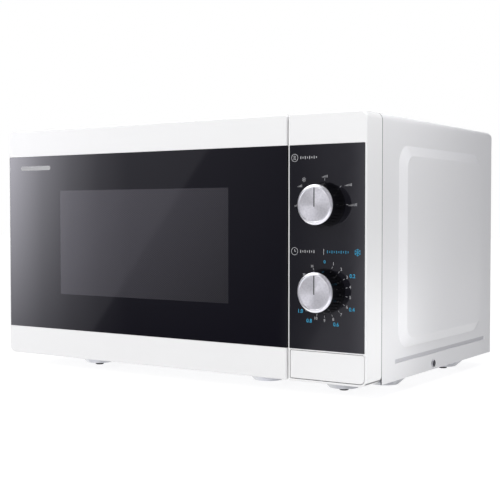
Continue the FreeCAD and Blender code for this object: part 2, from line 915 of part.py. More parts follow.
def make_transformer():
    """Laminated core standing on the base, with two windings round its middle limb."""
    low = D.foot_height + D.gauge
    left, right = D.core_left, D.core_right
    front, rear, high = D.core_front, D.core_rear, D.core_high
    window = D.core_window
    core = block(left + 6, front, low, right - 6, rear, high)
    slots = []
    for y in (front + window, rear - 2 * window):
        slots.append(block(left, y, low + window, right, y + window, high - window))
    solid = less("CoreLimbs", core, fused("CoreWindows", slots))
    foot = block(left, front, low, right, rear, low + 2)
    finished("transformer_core", fused("Core", [solid, foot]))
    gap = 0.3
    limb = [left + 6 - gap, front + 2 * window + gap, right - 6 + gap, rear - 2 * window - gap]
    middle = (low + high) / 2
    coils = []
    for bottom, top in ((low + window + 1, middle - 1), (middle + 1, high - window - 1)):
        outer = block(left + 1, front + window + gap, bottom, right - 1, rear - window - gap, top)
        hole = block(limb[0] + 4, limb[1] - gap, bottom - 1, limb[2] - 4, limb[3] + gap, top + 1)
        coils.append(less("Coil", outer, hole))
    finished("transformer_windings", less("Windings", fused("Coils", coils), core_copy(low)))


def core_copy(low):
    """The middle limb's space, taken out of the windings so that they sit round it."""
    window = D.core_window
    return block(D.core_left + 6, D.core_front + 2 * window, low, D.core_right - 6,
                 D.core_rear - 2 * window, D.core_high)


def make_capacitor():
    """High-voltage capacitor lying on the base, with the diode beside it."""
    body = new_body("capacitor")
    slab(body, "YZ", D.capacitor_left, D.capacitor_right,
         rectangle(D.capacitor_front, D.capacitor_low, D.capacitor_rear, D.capacitor_high, 14))
    for y in (D.capacitor_front + 16, D.capacitor_rear - 16):
        slab(body, "YZ", D.capacitor_left - 6, D.capacitor_left + 1,
             circle(y, (D.capacitor_low + D.capacitor_high) / 2, 3))
    base = D.foot_height + D.gauge
    diode = new_body("high_voltage_diode", D.capacitor_left + 16, D.capacitor_front - 22, base)
    slab(diode, "XY", 0, 5, rectangle(-7, -4, 7, 4, 1))
    slab(diode, "XY", 0, 1.5, rectangle(-16, -1.5, 16, 1.5, 1))


def make_fan():
    """Shroud on the back panel, shaded-pole motor in front of it and a five-blade rotor."""
    x, z, half = D.fan_x, D.fan_z, D.fan_half
    front, back = D.fan_front, D.case_depth - 2 * D.gauge
    shroud = new_body("fan_shroud", x, 0, z)
    slab(shroud, "XZ", front, back, rectangle(-half, -half, half, half, 4))
    cut(shroud, "XZ", front - 1, back + 1, circle(0, 0, D.fan_bore))
    rail = D.fan_motor_half
    for side in (1, -1):
        arm = ordered(rail * side - 4 * side, rail * side)
        slab(shroud, "XZ", D.fan_motor_rear, front + 2, rectangle(arm[0], -half, arm[1], half, 0.8))
    cut(shroud, "XZ", D.fan_motor_rear + 2, front + 0.5, rectangle(-rail - 1, -half + 8, rail + 1, half - 8))
    motor = new_body("fan_motor", x, 0, z)
    width = D.fan_motor_half
    slab(motor, "XZ", D.fan_motor_front, D.fan_motor_rear, rectangle(-width, -width, width, width, 3))
    slab(motor, "XZ", D.fan_motor_front - 6, D.fan_motor_rear, circle(0, 6, 13))
    slab(motor, "XZ", D.fan_motor_front - 4, D.fan_motor_rear - 1, rectangle(-14, -width - 1, 14, -9, 2))
    cut(motor, "XZ", D.fan_motor_front - 8, D.fan_motor_rear + 1, circle(0, 0, D.fan_shaft + 0.06))
    make_fan_blade(x, z)


def make_fan_blade(x, z):
    """Rotor: hub, shaft and five pitched blades trimmed to one circle."""
    front, rear = D.fan_hub_front, D.fan_hub_rear
    middle = (front + rear) / 2
    blades = []
    chord, thick = D.blade_chord, D.blade_thick
    lean = FreeCAD.Rotation(FreeCAD.Vector(0, 0, 1), D.blade_lean.number)
    for step in range(SIZES["blade_count"]):
        turn = 360.0 / SIZES["blade_count"] * step
        blade = doc.addObject("Part::Box", "Blade")
        bind(blade, "Length", chord)
        bind(blade, "Width", thick)
        bind(blade, "Height", D.fan_radius + 6)
        spin = FreeCAD.Rotation(FreeCAD.Vector(0, 1, 0), turn)
        blade.Placement.Rotation = spin.multiply(lean)
        corner = spin.multiply(lean).multVec(FreeCAD.Vector(-chord.number / 2, -thick.number / 2, 0))
        bind(blade, "Placement.Base.x", x + corner.x)
        bind(blade, "Placement.Base.y", middle + corner.y)
        bind(blade, "Placement.Base.z", z + corner.z)
        blades.append(blade)
    hub = rod("Y", x, front, z, D.fan_hub, rear - front)
    shaft = rod("Y", x, D.fan_motor_front - 9, z, D.fan_shaft, rear - D.fan_motor_front + 9)
    trim = doc.addObject("Part::Common", "BladeDisc")
    trim.Base = fused("Blades", blades)
    trim.Tool = rod("Y", x, front, z, D.fan_radius, rear - front)
    finished("fan_blade", fused("FanBlade", [trim, hub, shaft]))


def make_thermal_cutout():
    """Disc thermostat clipped to the cavity's right wall."""
    body = new_body("thermal_cutout", 0, D.cutout_y, D.cutout_z)
    wall = D.cavity_right + D.gauge
    ear, half = D.cutout_radius * 1.5, 5
    slab(body, "YZ", wall, wall + 2, rectangle(-ear, -half, ear, half, 2))
    slab(body, "YZ", wall, wall + D.cutout_height, circle(0, 0, D.cutout_radius))


def make_filter_board():
    """Mains filter board on its stand, above the fan."""
    body = new_body("filter_board")
    left, right, front, back = D.board_left, D.board_right, D.board_front, D.board_rear
    low = D.board_low
    top = low + D.board_thick
    slab(body, "XY", low, top, rectangle(left, front, right, back, 2))
    choke = rectangle(left + 8, front + 8, left + 30, front + 30, 4)
    capacitor = rectangle(left + 44, front + 8, left + 64, front + 16, 1)
    terminals = rectangle(left + 40, back - 16, right - 6, back - 8, 1)
    for height, shape in ((20, choke), (16, capacitor), (10, terminals)):
        slab(body, "XY", top, low + height, shape)
    # The stand is one upright tab that meets the back panel.
    tab = rectangle(left + 10, low - 10, right - 10, top)
    slab(body, "XZ", back, D.case_depth - 2 * D.gauge, tab)
    slab(body, "XZ", back - 1, back + 0.5, tab)


# ---------------------------------------------------------------- turntable

def make_turntable():
    """Motor under the cavity, coupler, roller ring with three rollers, and the glass tray."""
    x, y = D.table_x, D.table_y
    motor = new_body("turntable_motor", x, y)
    slab(motor, "XY", D.motor_low, D.motor_high, circle(0, 0, D.motor_radius))
    slab(motor, "XY", D.motor_high - 3, D.cavity_low - D.gauge, circle(0, 0, 12))
    slab(motor, "XY", D.foot_height + D.gauge, D.motor_low + 1, rectangle(-12, -30, 12, 30, 4))
    cut(motor, "XY", D.motor_high - 8, D.cavity_low, circle(0, 0, D.motor_shaft + 0.06))

    coupler = new_body("turntable_coupler", x, y)
    slab(coupler, "XY", D.motor_high - 6, D.motor_shaft_top, circle(0, 0, D.motor_shaft))
    slab(coupler, "XY", D.coupler_low, D.coupler_high, circle(0, 0, D.coupler_radius))
    half = D.wing_half
    wing = slab(coupler, "XY", D.coupler_high - D.wing_height, D.coupler_high,
                rectangle(0, -half, D.wing_reach, half, 1.5))
    polar(coupler, wing, "Z_Axis", 3)

    tray = new_body("glass_tray", x, y)
    low, flat, radius = D.tray_low, D.tray_flat, D.tray_radius
    floor, rim = low + D.tray_thick, low + D.tray_rim
    turned(tray, "XZ", "V_Axis", polygon(
        (0, low), (flat, low), (flat + 8, low + 2.4), (radius - 3, rim - 1.5), (radius, rim),
        (radius - 1, rim + 1.6), (radius - 4.5, rim + 0.6), (flat + 5, floor + 2.4), (flat - 2, floor),
        (0, floor)))
    seat_radius, seat_depth = 20, 1.2
    cut(tray, "XY", low, low + seat_depth, circle(0, 0, seat_radius))


def make_roller_ring():
    x, y = D.table_x, D.table_y
    ring = new_body("roller_ring", x, y)
    slab(ring, "XY", D.ring_low, D.ring_high, circle(0, 0, D.ring_outer), circle(0, 0, D.ring_inner))
    start = slab(ring, "YZ", D.ring_outer - 1, D.roller_pitch + D.roller_width,
                 circle(0, D.roller_height, D.roller_axle))
    polar(ring, start, "Z_Axis", 3)
    for step in range(3):
        turn = 120.0 * step
        roller = new_body(f"roller_{step + 1}")
        slab(roller, "YZ", -(D.roller_width / 2), D.roller_width / 2,
             circle(0, 0, D.roller_radius), circle(0, 0, D.roller_axle + 0.06))
        roller.Placement.Rotation = FreeCAD.Rotation(FreeCAD.Vector(0, 0, 1), turn)
        place(roller, x + D.roller_pitch * math.cos(math.radians(turn)),
              y + D.roller_pitch * math.sin(math.radians(turn)), D.roller_height)


# ---------------------------------------------------------------- door

def front_moulding(body, left, right, depth, corners, section):
    """A block with a rounded front outline and softened front edges."""
    slab(body, "XY", BOTTOM, TOP, rectangle(left, 0, right, depth, section))
    outside = rectangle(left - 9, BOTTOM - 9, right + 9, TOP + 9)
    cut(body, "XZ", -1, depth + 1, outside, rectangle(left, BOTTOM, right, TOP, corners))
    round_edges(body, D.front_round, front_edges)


def hinge_levels():
    """Bottom of the lower hinge plate and bottom of the upper one, which mirror each other."""
    return D.hinge_low, TOP + BOTTOM - D.hinge_low - D.hinge_gauge


def make_door_frame():
    """White moulding: a recess for the glass in front and a deep pocket for the metal pan behind."""
    body = new_body("door_frame")
    sharp, big, small = 0, D.front_corner, D.seam_corner
    front_moulding(body, LEFT, D.door_right, D.door_depth, [big, small, small, big],
                   [sharp, sharp, sharp, D.hinge_corner])
    cut(body, "XZ", 0, D.glass_recess,
        rectangle(LEFT + D.glass_margin, D.glass_low, D.door_right + 1, D.glass_high))
    cut(body, "XZ", D.glass_recess - 1, D.door_web + 1,
        rectangle(D.web_opening_left, D.web_opening_low, D.web_opening_right, D.web_opening_high, 4))
    cut(body, "XZ", D.door_web, D.door_depth,
        rectangle(D.pocket_left, D.pocket_low, D.pocket_right, D.pocket_high, 2))
    gap = D.hinge_gap
    bore = circle(D.hinge_x, D.hinge_y, D.hinge_bore)
    reach = D.hinge_pin_length + gap
    for number, low in enumerate(hinge_levels()):
        high = low + D.hinge_gauge
        cut(body, "XY", low - gap, high + gap,
            rectangle(LEFT - 1, D.hinge_slot_front, D.hinge_slot_right, D.door_depth + 1))
        span = (high, high + reach) if number == 0 else (low - reach, low)
        cut(body, "XY", *span, bore)


def make_hinges():
    """Two steel hinge tongues that pass through the front plate; each carries a pivot pin."""
    names = ("hinge_lower", "hinge_upper")
    flange = D.hinge_flange
    for number, low in enumerate(hinge_levels()):
        body = new_body(names[number])
        high = low + D.hinge_gauge
        left, right = D.hinge_x - D.hinge_half, D.hinge_x + D.hinge_half + 2
        back = PLATE_BACK + 1.2
        slab(body, "XY", low, high,
             rectangle(left, D.hinge_y - D.hinge_half, right, back, [4.5, 4.5, 0.3, 0.3]))
        upright = (low - 2, high + flange) if number == 0 else (low - flange, high + 2)
        slab(body, "YZ", left + 1, right + 12, rectangle(PLATE_BACK, upright[0], back, upright[1], 0.2))
        pin = (low, high + D.hinge_pin_length) if number == 0 else (low - D.hinge_pin_length, high)
        slab(body, "XY", *pin, circle(D.hinge_x, D.hinge_y, D.hinge_pin))


def make_door_glass():
    """Printed glass that fills the front of the door."""
    body = new_body("door_glass")
    gap = 0.2
    front = D.glass_recess - D.glass_thick
    left, right = LEFT + D.glass_margin + gap, D.door_right - gap
    slab(body, "XZ", front, D.glass_recess,
         rectangle(left, D.glass_low + gap, right, D.glass_high - gap, 0.6))


def screen_outline(grow):
    return rectangle(D.web_opening_left - grow, D.web_opening_low - grow,
                     D.web_opening_right + grow, D.web_opening_high + grow, 5)


def make_door_inner():
    """Metal choke pan with its raised screen, the clear film on the screen and the choke cover."""
    gauge = D.gauge
    front = D.door_web
    pan = new_body("door_inner_panel")
    slab(pan, "XZ", front, D.pan_back, rectangle(D.pan_left, D.pan_low, D.pan_right, D.pan_high, 3))
    cut(pan, "XZ", front + gauge, D.pan_back,
        rectangle(D.pan_left + gauge, D.pan_low + gauge, D.pan_right - gauge, D.pan_high - gauge, 2))
    slab(pan, "XZ", front, D.screen_back, screen_outline(0))
    cut(pan, "XZ", front, D.screen_back - gauge, screen_outline(-gauge))

    film = new_body("door_inner_film")
    slab(film, "XZ", D.screen_back, D.screen_back + D.film_thick, screen_outline(-1))

    cover = new_body("door_choke_cover")
    gap = 0.3
    play = D.hook_play
    slab(cover, "XZ", D.pan_back, D.door_depth - 0.1,
         rectangle(D.pocket_left + gap, D.pocket_low + gap, D.pocket_right - gap, D.pocket_high - gap, 2),
         screen_outline(-3))
    slab(cover, "XZ", D.screen_back + D.film_thick, D.pan_back + 0.5, screen_outline(0), screen_outline(-3))
    for z in (D.hook_low_z, D.hook_high_z):
        cut(cover, "XZ", D.pan_back - 1, D.door_depth + 1,
            rectangle(D.hook_left - play, z - D.hook_lip - 2, D.hook_right + play, z + D.hook_height + 5))


def make_door_latch():
    """Sliding latch bar in the door edge with two hooks that reach through the front plate."""
    body = new_body("door_latch")
    front, back, tip = D.latch_front, D.latch_back, D.hook_tip
    left, right = D.hook_left, D.hook_right
    slab(body, "YZ", left, right, rectangle(front, D.latch_low, back, D.latch_high, 1))
    for z in (D.hook_low_z, D.hook_high_z):
        head = tip - D.hook_head
        slab(body, "YZ", left, right, polygon(
            (back - 1, z), (head, z), (head, z - D.hook_lip), (tip - 3, z - D.hook_lip), (tip, z),
            (tip, z + D.hook_height), (back - 1, z + D.hook_height)))


def spring(name, axis, x, y, z, radius, wire, length, turns):
    """A wire coil whose axis starts at (x, y, z) and runs along +Y or +Z."""
    coil = Part.makeHelix(length / turns, length, radius)
    start = coil.Vertexes[0].Point
    section = Part.Wire(Part.makeCircle(wire, start, FreeCAD.Vector(0, 1, 0)))
    feature = doc.addObject("Part::Feature", name)
    feature.Shape = Part.Wire(coil.Edges).makePipeShell([section], True, True)
    feature.Placement.Rotation = TURNS[axis]
    place(feature, x, y, z)
    return node(feature, name)


def make_springs():
    wire = 0.4
    middle = (D.hook_left + D.hook_right) / 2
    low = D.latch_high + wire + 0.3
    high = D.pocket_high - wire - 0.3
    spring("latch_spring", "Z", middle, (D.latch_front + D.latch_back) / 2, low, 2.2, wire,
           (high - low).number, 9)
    start = D.button_depth + wire + 0.3
    end = BACK_OF_FRONT - wire - 0.3
    spring("button_spring", "Y", D.pusher_left - 12, start, (D.pusher_low + D.pusher_high) / 2, 3.6, wire,
           (end - start).number, 6)


def make_release():
    """Push button, the lever it rocks, and the bracket with the interlock switches."""
    button = new_body("release_button")
    corner = D.button_corner
    outline = rectangle(D.button_left, D.button_low, D.button_right, D.button_high, [1, corner, 2, 1])
    slab(button, "XZ", 0, D.button_depth, outline)
    round_edges(button, 0.8, front_edges)
    wall = 2
    cut(button, "XZ", wall, D.button_depth,
        rectangle(D.button_left + wall, D.button_low + wall, D.button_right - wall, D.button_high - wall, 2))
    slab(button, "XZ", wall - 0.5, D.pusher_tip,
         rectangle(D.pusher_left, D.pusher_low, D.pusher_right, D.pusher_high, 0.5))
    slab(button, "XZ", wall - 0.5, D.button_depth,
         circle(D.pusher_left - 12, (D.pusher_low + D.pusher_high) / 2, 5))

    lever = new_body("release_lever")
    y, z, radius = D.lever_y, D.lever_z, D.lever_shaft
    slab(lever, "YZ", D.hook_left, D.lever_right, circle(y, z, radius))
    face = D.pusher_tip + 0.4
    web = radius - 0.3
    slab(lever, "YZ", D.pusher_left, D.pusher_right, polygon(
        (y - web, z), (face, D.pusher_low + 6), (face, D.pusher_low), (face + 3.5, D.pusher_low),
        (face + 3.5, D.pusher_low + 8), (y + web, z)))
    lip = D.hook_low_z - D.hook_lip - 0.8
    slab(lever, "YZ", D.hook_left, D.hook_right, polygon(
        (y, z - web), (D.hook_tip, z - web + 1), (D.hook_tip, lip), (D.hook_tip - 4, lip),
        (D.hook_tip - 4, z + web - 1), (y, z + web)))


def switch_places():
    """Bottom of each interlock switch, and the height of its plunger."""
    upper = D.hook_high_z + D.hook_height / 2
    return [
        (D.hook_low_z - 5, D.hook_low_z + 5),
        (upper - 0.25 - D.switch_height, upper - 2.2),
        (upper + 0.25, upper + 2.2),
    ]


def make_interlock():
    bracket = new_body("interlock_bracket")
    left, back = D.bracket_left, D.bracket_back
    slab(bracket, "YZ", left, left + 2.5, rectangle(PLATE_BACK, D.bracket_low, back, D.bracket_high, 3))
    for z in (D.hook_low_z, D.hook_high_z):
        top = z - D.hook_lip - 0.6
        ledge = rectangle(PLATE_BACK + 0.8, top - 2.5, D.lever_y + 2, top)
        slab(bracket, "YZ", D.hook_left - 1.5, left + 1, ledge)
        foot = rectangle(PLATE_BACK, top - 2.5, PLATE_BACK + 1.5, top)
        slab(bracket, "YZ", D.hook_right + 2.8, left + 1, foot)
    hole = circle(D.lever_y, D.lever_z, D.lever_shaft + 0.06)
    cut(bracket, "YZ", left - 1, left + 4, hole)
    bodies = []
    right = left
    for number, (bottom, height) in enumerate(switch_places()):
        case = block(D.switch_left, D.switch_front, bottom, right, D.switch_front + D.switch_depth,
                     bottom + D.switch_height)
        middle = (D.hook_left + D.hook_right) / 2
        hole = rod("Y", middle, D.switch_front - 1, height, D.plunger_radius + 0.06, 9)
        bodies.append(less("Switch", case, hole))
        plunger = new_body(f"switch_plunger_{number + 1}", middle, 0, height)
        slab(plunger, "XZ", D.plunger_tip, D.switch_front + 5, circle(0, 0, D.plunger_radius))
    group("interlock_switches", bodies)


# ---------------------------------------------------------------- control panel

def make_control_panel():
    """White housing, its black front overlay and the openings for dials and button."""
    body = new_body("control_panel_housing")
    big, small = D.front_corner, D.seam_corner
    front_moulding(body, D.panel_left, RIGHT, D.front_depth, [small, big, big, small], None)
    face, wall = D.panel_face, D.panel_wall
    gap = D.button_gap
    button = [D.button_left - gap, D.button_low - gap, D.button_right + gap, D.button_high + gap]
    cut(body, "XZ", face, D.front_depth,
        rectangle(D.panel_left + wall, BOTTOM + wall, RIGHT - wall, TOP - wall, [1, 5.7, 5.7, 1]))
    cut(body, "XZ", -1, face + 1, rectangle(*button, [1.5, D.button_corner + gap, 2.5, 1.5]))
    cut(body, "XZ", 0, D.overlay_thick + 0.1,
        rectangle(D.overlay_left, D.overlay_low, D.overlay_right, D.overlay_high, 0.8))
    for z in (D.power_z, D.timer_z):
        cut(body, "XZ", -1, face + 1, circle(D.dial_x, z, 7))

    overlay = new_body("control_panel_overlay")
    slip = 0.15
    left, right = D.overlay_left + slip, D.overlay_right - slip
    slab(overlay, "XZ", 0.1, D.overlay_thick + 0.1,
         rectangle(left, D.overlay_low + slip, right, D.overlay_high - slip, 0.7))
    for z in (D.power_z, D.timer_z):
        cut(overlay, "XZ", -1, 2, circle(D.dial_x, z, 7))


def make_dial(prefix, z):
    """One rotary control: ribbed knob, brushed cap and the shaft it is pressed on."""
    knob = new_body(f"{prefix}_knob", D.dial_x, 0, z)
    foot = -D.knob_gap
    tip = -D.knob_reach
    shoulder = tip + D.cap_thick
    turned(knob, "YZ", "H_Axis", polygon(
        (foot, 0), (foot, D.knob_foot), (foot - 2.2, D.knob_foot - 0.3), (shoulder + 0.9, D.knob_neck),
        (shoulder, D.knob_neck - 0.7), (shoulder, 0)))
    half = D.rib_width / 2
    rib = cut(knob, "XZ", shoulder - 1, foot - 3,
              rectangle(-half, D.knob_neck - D.rib_depth + 0.3, half, D.knob_foot + 2))
    polar(knob, rib, "Y_Axis", D.rib_count)
    cut(knob, "XZ", D.shaft_front, 0, circle(0, 0, D.shaft_radius))
    cut(knob, "XZ", foot - 8, 0, circle(0, 0, D.knob_foot - 3), circle(0, 0, D.shaft_radius + 3))

    cap = new_body(f"{prefix}_knob_cap", D.dial_x, 0, z)
    radius = D.cap_radius
    crest = radius - D.cap_bevel
    inner = crest - D.cap_rim
    turned(cap, "YZ", "H_Axis", polygon(
        (shoulder, 0), (shoulder, radius + 0.4), (shoulder - 0.7, radius + 0.4), (shoulder - 0.9, radius),
        (tip + 1.2, radius), (tip, crest), (tip, inner), (tip + D.cap_dish, inner - 0.6), (tip + D.cap_dish, 0)))

    shaft = new_body(f"{prefix}_shaft", D.dial_x, 0, z)
    slab(shaft, "XZ", D.shaft_front, PLATE_BACK + 12, circle(0, 0, D.shaft_radius))


def make_controls():
    """The clockwork timer and the power selector, fixed behind the housing."""
    bore = circle(0, 0, D.shaft_bore)
    bore_end = PLATE_BACK + 12.3
    face, back = D.panel_face, D.control_back
    front = face + D.control_boss_depth
    boss = D.control_boss_half
    timer = new_body("timer_unit", D.dial_x, 0, D.timer_z)
    width, height = D.timer_half_width, D.timer_half_height
    slab(timer, "XZ", front, back, rectangle(-width, -height, width, height, 3))
    slab(timer, "XZ", face, front + 1, rectangle(-width - 4, -boss, width + 4, boss, 2))
    slab(timer, "XZ", back - 1, back + 6, circle(-8, -10, 11))
    cut(timer, "XZ", face - 1, bore_end, bore)
    selector = new_body("power_selector", D.dial_x, 0, D.power_z)
    width, height = D.selector_half_width, D.selector_half_height
    slab(selector, "XZ", front, back - 8, rectangle(-width, -height, width, height, 3))
    slab(selector, "XZ", face, front + 1, rectangle(-width - 4, -boss, width + 4, boss, 2))
    cut(selector, "XZ", face - 1, bore_end, bore)


MAKERS = [
    make_outer_cabinet, make_rear_panel, make_base_plate, make_feet, make_cabinet_screws, make_cord_gland,
    make_oven_cavity, make_front_plate, make_waveguide, make_waveguide_cover, make_lamp, make_magnetron,
    make_transformer, make_capacitor, make_fan, make_thermal_cutout, make_filter_board, make_turntable,
    make_roller_ring, make_door_frame, make_hinges, make_door_glass, make_door_inner, make_door_latch,
    make_springs, make_release, make_interlock, make_control_panel, make_controls,
]
for maker in MAKERS:
    maker()
make_dial("power", D.power_z)
make_dial("timer", D.timer_z)
doc.recompute()


# ---------------------------------------------------------------- checks and export

def check_model():
    """Stop before writing anything if a feature failed or a cut removed nothing."""
    problems = []
    for thing in doc.Objects:
        if "Invalid" in thing.State or "Error" in thing.State:
            problems.append(f"{thing.Name}: {thing.State}")
        if thing.TypeId in ("PartDesign::Pocket", "PartDesign::SubtractiveLoft"):
            before, after = thing.BaseFeature.Shape, thing.Shape
            if before.isNull() or after.isNull() or before.Volume - after.Volume < 1e-3:
                problems.append(f"{thing.Name} removes nothing")
    for part in NODES:
        shape = part.Shape
        if shape.isNull() or not shape.isValid() or not shape.Solids:
            problems.append(f"{part.Label} has no valid solid")
    if problems:
        raise RuntimeError("\n".join(problems))


check_model()
for part in NODES:
    part.Shape.exportStep(f"parts/{part.Label}.step")
    print(part.Label, len(part.Shape.Solids), round(part.Shape.Volume))
print(len(NODES), "sub-parts")
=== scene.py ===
import math

import bmesh
import bpy
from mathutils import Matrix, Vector


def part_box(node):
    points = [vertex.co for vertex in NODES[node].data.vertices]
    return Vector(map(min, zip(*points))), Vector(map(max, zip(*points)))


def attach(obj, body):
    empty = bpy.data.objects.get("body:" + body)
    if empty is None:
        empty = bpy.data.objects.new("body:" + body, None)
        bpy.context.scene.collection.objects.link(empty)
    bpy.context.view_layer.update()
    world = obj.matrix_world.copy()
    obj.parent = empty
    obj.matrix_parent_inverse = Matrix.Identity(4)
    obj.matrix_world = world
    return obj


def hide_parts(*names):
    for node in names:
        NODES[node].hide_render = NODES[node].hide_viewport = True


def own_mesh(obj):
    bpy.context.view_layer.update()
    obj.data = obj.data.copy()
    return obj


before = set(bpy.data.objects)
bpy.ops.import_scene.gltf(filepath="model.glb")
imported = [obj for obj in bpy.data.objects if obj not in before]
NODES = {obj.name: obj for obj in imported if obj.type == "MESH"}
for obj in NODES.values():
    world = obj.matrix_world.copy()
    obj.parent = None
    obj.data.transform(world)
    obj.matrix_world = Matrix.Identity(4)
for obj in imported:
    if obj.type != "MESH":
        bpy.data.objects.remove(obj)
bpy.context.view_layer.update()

# Microwave oven: materials for every CAD node, printed dial scales and small trim, and the
# studio round them. Metres, +Z up, front facing -Y, origin on the floor under the case.

MM = 0.001
scene = bpy.context.scene


# ---------------------------------------------------------------- places read from the frame

def corners(node):
    low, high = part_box(node)
    return Vector(low), Vector(high)


def middle(node):
    low, high = corners(node)
    return (low + high) / 2


GLASS_LOW, GLASS_HIGH = corners("door_glass")
COVER_LOW, COVER_HIGH = corners("outer_cabinet")
PANEL_Y = corners("control_panel_overlay")[0].y
CAP_Y = corners("timer_knob_cap")[0].y
POWER = middle("power_shaft")
TIMER = middle("timer_shaft")

# The lighter window printed on the door glass.
WINDOW_LEFT = GLASS_LOW.x + 75.3 * MM
WINDOW_RIGHT = GLASS_HIGH.x - 64.9 * MM
WINDOW_LOW = GLASS_LOW.z + 37.5 * MM
WINDOW_HIGH = GLASS_HIGH.z - 37.2 * MM

SCREEN_PITCH = 2.1 * MM


# ---------------------------------------------------------------- shader building

class Graph:
    """A node tree under construction; short calls add and link its nodes."""

    def __init__(self, tree):
        self.tree = tree

    def add(self, kind, **settings):
        node = self.tree.nodes.new(kind)
        for name, value in settings.items():
            setattr(node, name, value)
        return node

    def link(self, source, target):
        self.tree.links.new(source, target)

    def feed(self, socket, value):
        """Link an output to a socket, or set it to a constant."""
        if isinstance(value, bpy.types.NodeSocket):
            self.link(value, socket)
        else:
            socket.default_value = value

    def math(self, operation, *values):
        node = self.add("ShaderNodeMath", operation=operation)
        for socket, value in zip(node.inputs, values):
            self.feed(socket, value)
        return node.outputs[0]

    def times(self, first, second):
        return self.math("MULTIPLY", first, second)

    def total(self, *terms):
        """The sum of each value times its weight."""
        result = 0.0
        for value, weight in terms:
            result = self.math("MULTIPLY_ADD", value, weight, result)
        return result

    def split(self, vector):
        node = self.add("ShaderNodeSeparateXYZ")
        self.link(vector, node.inputs[0])
        return node.outputs

    def between(self, factor, low, high, new_low, new_high):
        """A value that runs from new_low to new_high as the factor runs from low to high."""
        node = self.add("ShaderNodeMapRange")
        for socket, value in zip(node.inputs, (factor, low, high, new_low, new_high)):
            self.feed(socket, value)
        return node.outputs[0]

    def ramp(self, factor, stops):
        """A curve through (position, level) stops, given in rising order."""
        low, high = stops[0][0], stops[-1][0]
        node = self.add("ShaderNodeValToRGB")
        self.link(self.between(factor, low, high, 0.0, 1.0), node.inputs[0])
        elements = node.color_ramp.elements
        while len(elements) < len(stops):
            elements.new(0.5)
        for element, (position, level) in zip(elements, stops):
            element.position = (position - low) / (high - low)
            element.color = (level, level, level, 1.0)
        return node.outputs[0]

    def blend(self, factor, first, second):
        node = self.add("ShaderNodeMix", data_type="RGBA")
        self.feed(node.inputs[0], factor)
        self.feed(node.inputs[6], first)
        self.feed(node.inputs[7], second)
        return node.outputs[2]


class Shader(Graph):
    """A Principled material under construction."""

    INPUTS = {"colour": "Base Color", "metal": "Metallic", "rough": "Roughness", "ior": "IOR",
              "coat": "Coat Weight", "coat_rough": "Coat Roughness", "clear": "Transmission Weight",
              "specular": "Specular IOR Level", "normal": "Normal", "brushing": "Anisotropic",
              "tangent": "Tangent", "glow": "Emission Color", "glow_strength": "Emission Strength"}

    def __init__(self, name):
        self.material = bpy.data.materials.new(name)
        self.material.use_nodes = True
        super().__init__(self.material.node_tree)
        self.surface = self.tree.nodes["Principled BSDF"]
        self.place = self.add("ShaderNodeTexCoord").outputs["Object"]

    def surface_is(self, **values):
        for key, value in values.items():
            self.feed(self.surface.inputs[self.INPUTS[key]], value)

    def axes(self):
        return self.split(self.place)

    def stretched(self, scale):
        node = self.add("ShaderNodeMapping")
        self.link(self.place, node.inputs["Vector"])
        node.inputs["Scale"].default_value = scale
        return node.outputs[0]

    def noise(self, scale, detail=2.0, stretch=None):
        node = self.add("ShaderNodeTexNoise")
        self.link(self.stretched(stretch) if stretch else self.place, node.inputs["Vector"])
        node.inputs["Scale"].default_value = scale
        node.inputs["Detail"].default_value = detail
        return node.outputs["Fac"]

    def vary(self, noise, new_low, new_high, low=0.3, high=0.7):
        """A value that follows a noise over its usual range."""
        return self.between(noise, low, high, new_low, new_high)

    def tint(self, noise, first, second, low=0.3, high=0.7):
        """A colour that follows a noise from the first colour to the second."""
        return self.blend(self.vary(noise, 0.0, 1.0, low, high), first, second)

    def bump(self, height, strength, distance):
        node = self.add("ShaderNodeBump")
        self.link(height, node.inputs["Height"])
        node.inputs["Strength"].default_value = strength
        node.inputs["Distance"].default_value = distance
        return node.outputs["Normal"]

    def inside(self, value, low, high, soft):
        """1 between low and high, 0 outside; each edge fades over soft metres either way."""
        rising = self.between(value, low - soft, low + soft, 0.0, 1.0)
        falling = self.between(value, high - soft, high + soft, 1.0, 0.0)
        return self.times(rising, falling)

    def patch(self, x, x_low, x_high, z, z_low, z_high, soft):
        """1 inside an upright rectangle, 0 outside."""
        return self.times(self.inside(x, x_low, x_high, soft), self.inside(z, z_low, z_high, soft))


def rgb(red, green, blue):
    return (red, green, blue, 1.0)


def shade(colour, amount):
    return rgb(*[part * amount for part in colour[:3]])


# ---------------------------------------------------------------- materials

def front_moulding():
    """Glossy white front plastic, with painted shade in the narrow gap that rings the push button."""
    white = rgb(0.87, 0.87, 0.865)
    gap_width, shade_start, shade_full = 0.8 * MM, 1.1 * MM, 1.5 * MM
    make = Shader("white_moulding")
    x, y, z = make.axes()
    low, high = corners("release_button")
    # Painted shade: inside the narrow gap round the push button the plastic turns near black, from 1.1
    # mm behind the button's front and fully by 1.5 mm, as if the gap lay in shade.
    ring = make.patch(x, low.x - gap_width, high.x + gap_width,
                      z, low.z - gap_width, high.z + gap_width, 0.1 * MM)
    gap_shade = make.times(ring, make.between(y, low.y + shade_start, low.y + shade_full, 0.0, 1.0))
    mottle = make.noise(22, 3.0)
    plastic = make.blend(mottle, shade(white, 0.98), white)
    make.surface_is(colour=make.blend(gap_shade, plastic, rgb(0.05, 0.05, 0.055)),
                    rough=make.between(mottle, 0.0, 1.0, 0.26, 0.34), coat=0.15, coat_rough=0.08,
                    normal=make.bump(make.noise(1800), 0.25, 0.02 * MM))
    return make.material


def moulded(name, colour, rough, grain=1800):
    """Injection-moulded plastic: fine texture, faint flow mottling."""
    make = Shader(name)
    mottle = make.noise(22, 3.0)
    make.surface_is(colour=make.tint(mottle, shade(colour, 0.975), colour),
                    rough=make.vary(mottle, rough * 0.9, rough * 1.1),
                    normal=make.bump(make.noise(grain), 0.25, 0.02 * MM))
    return make.material


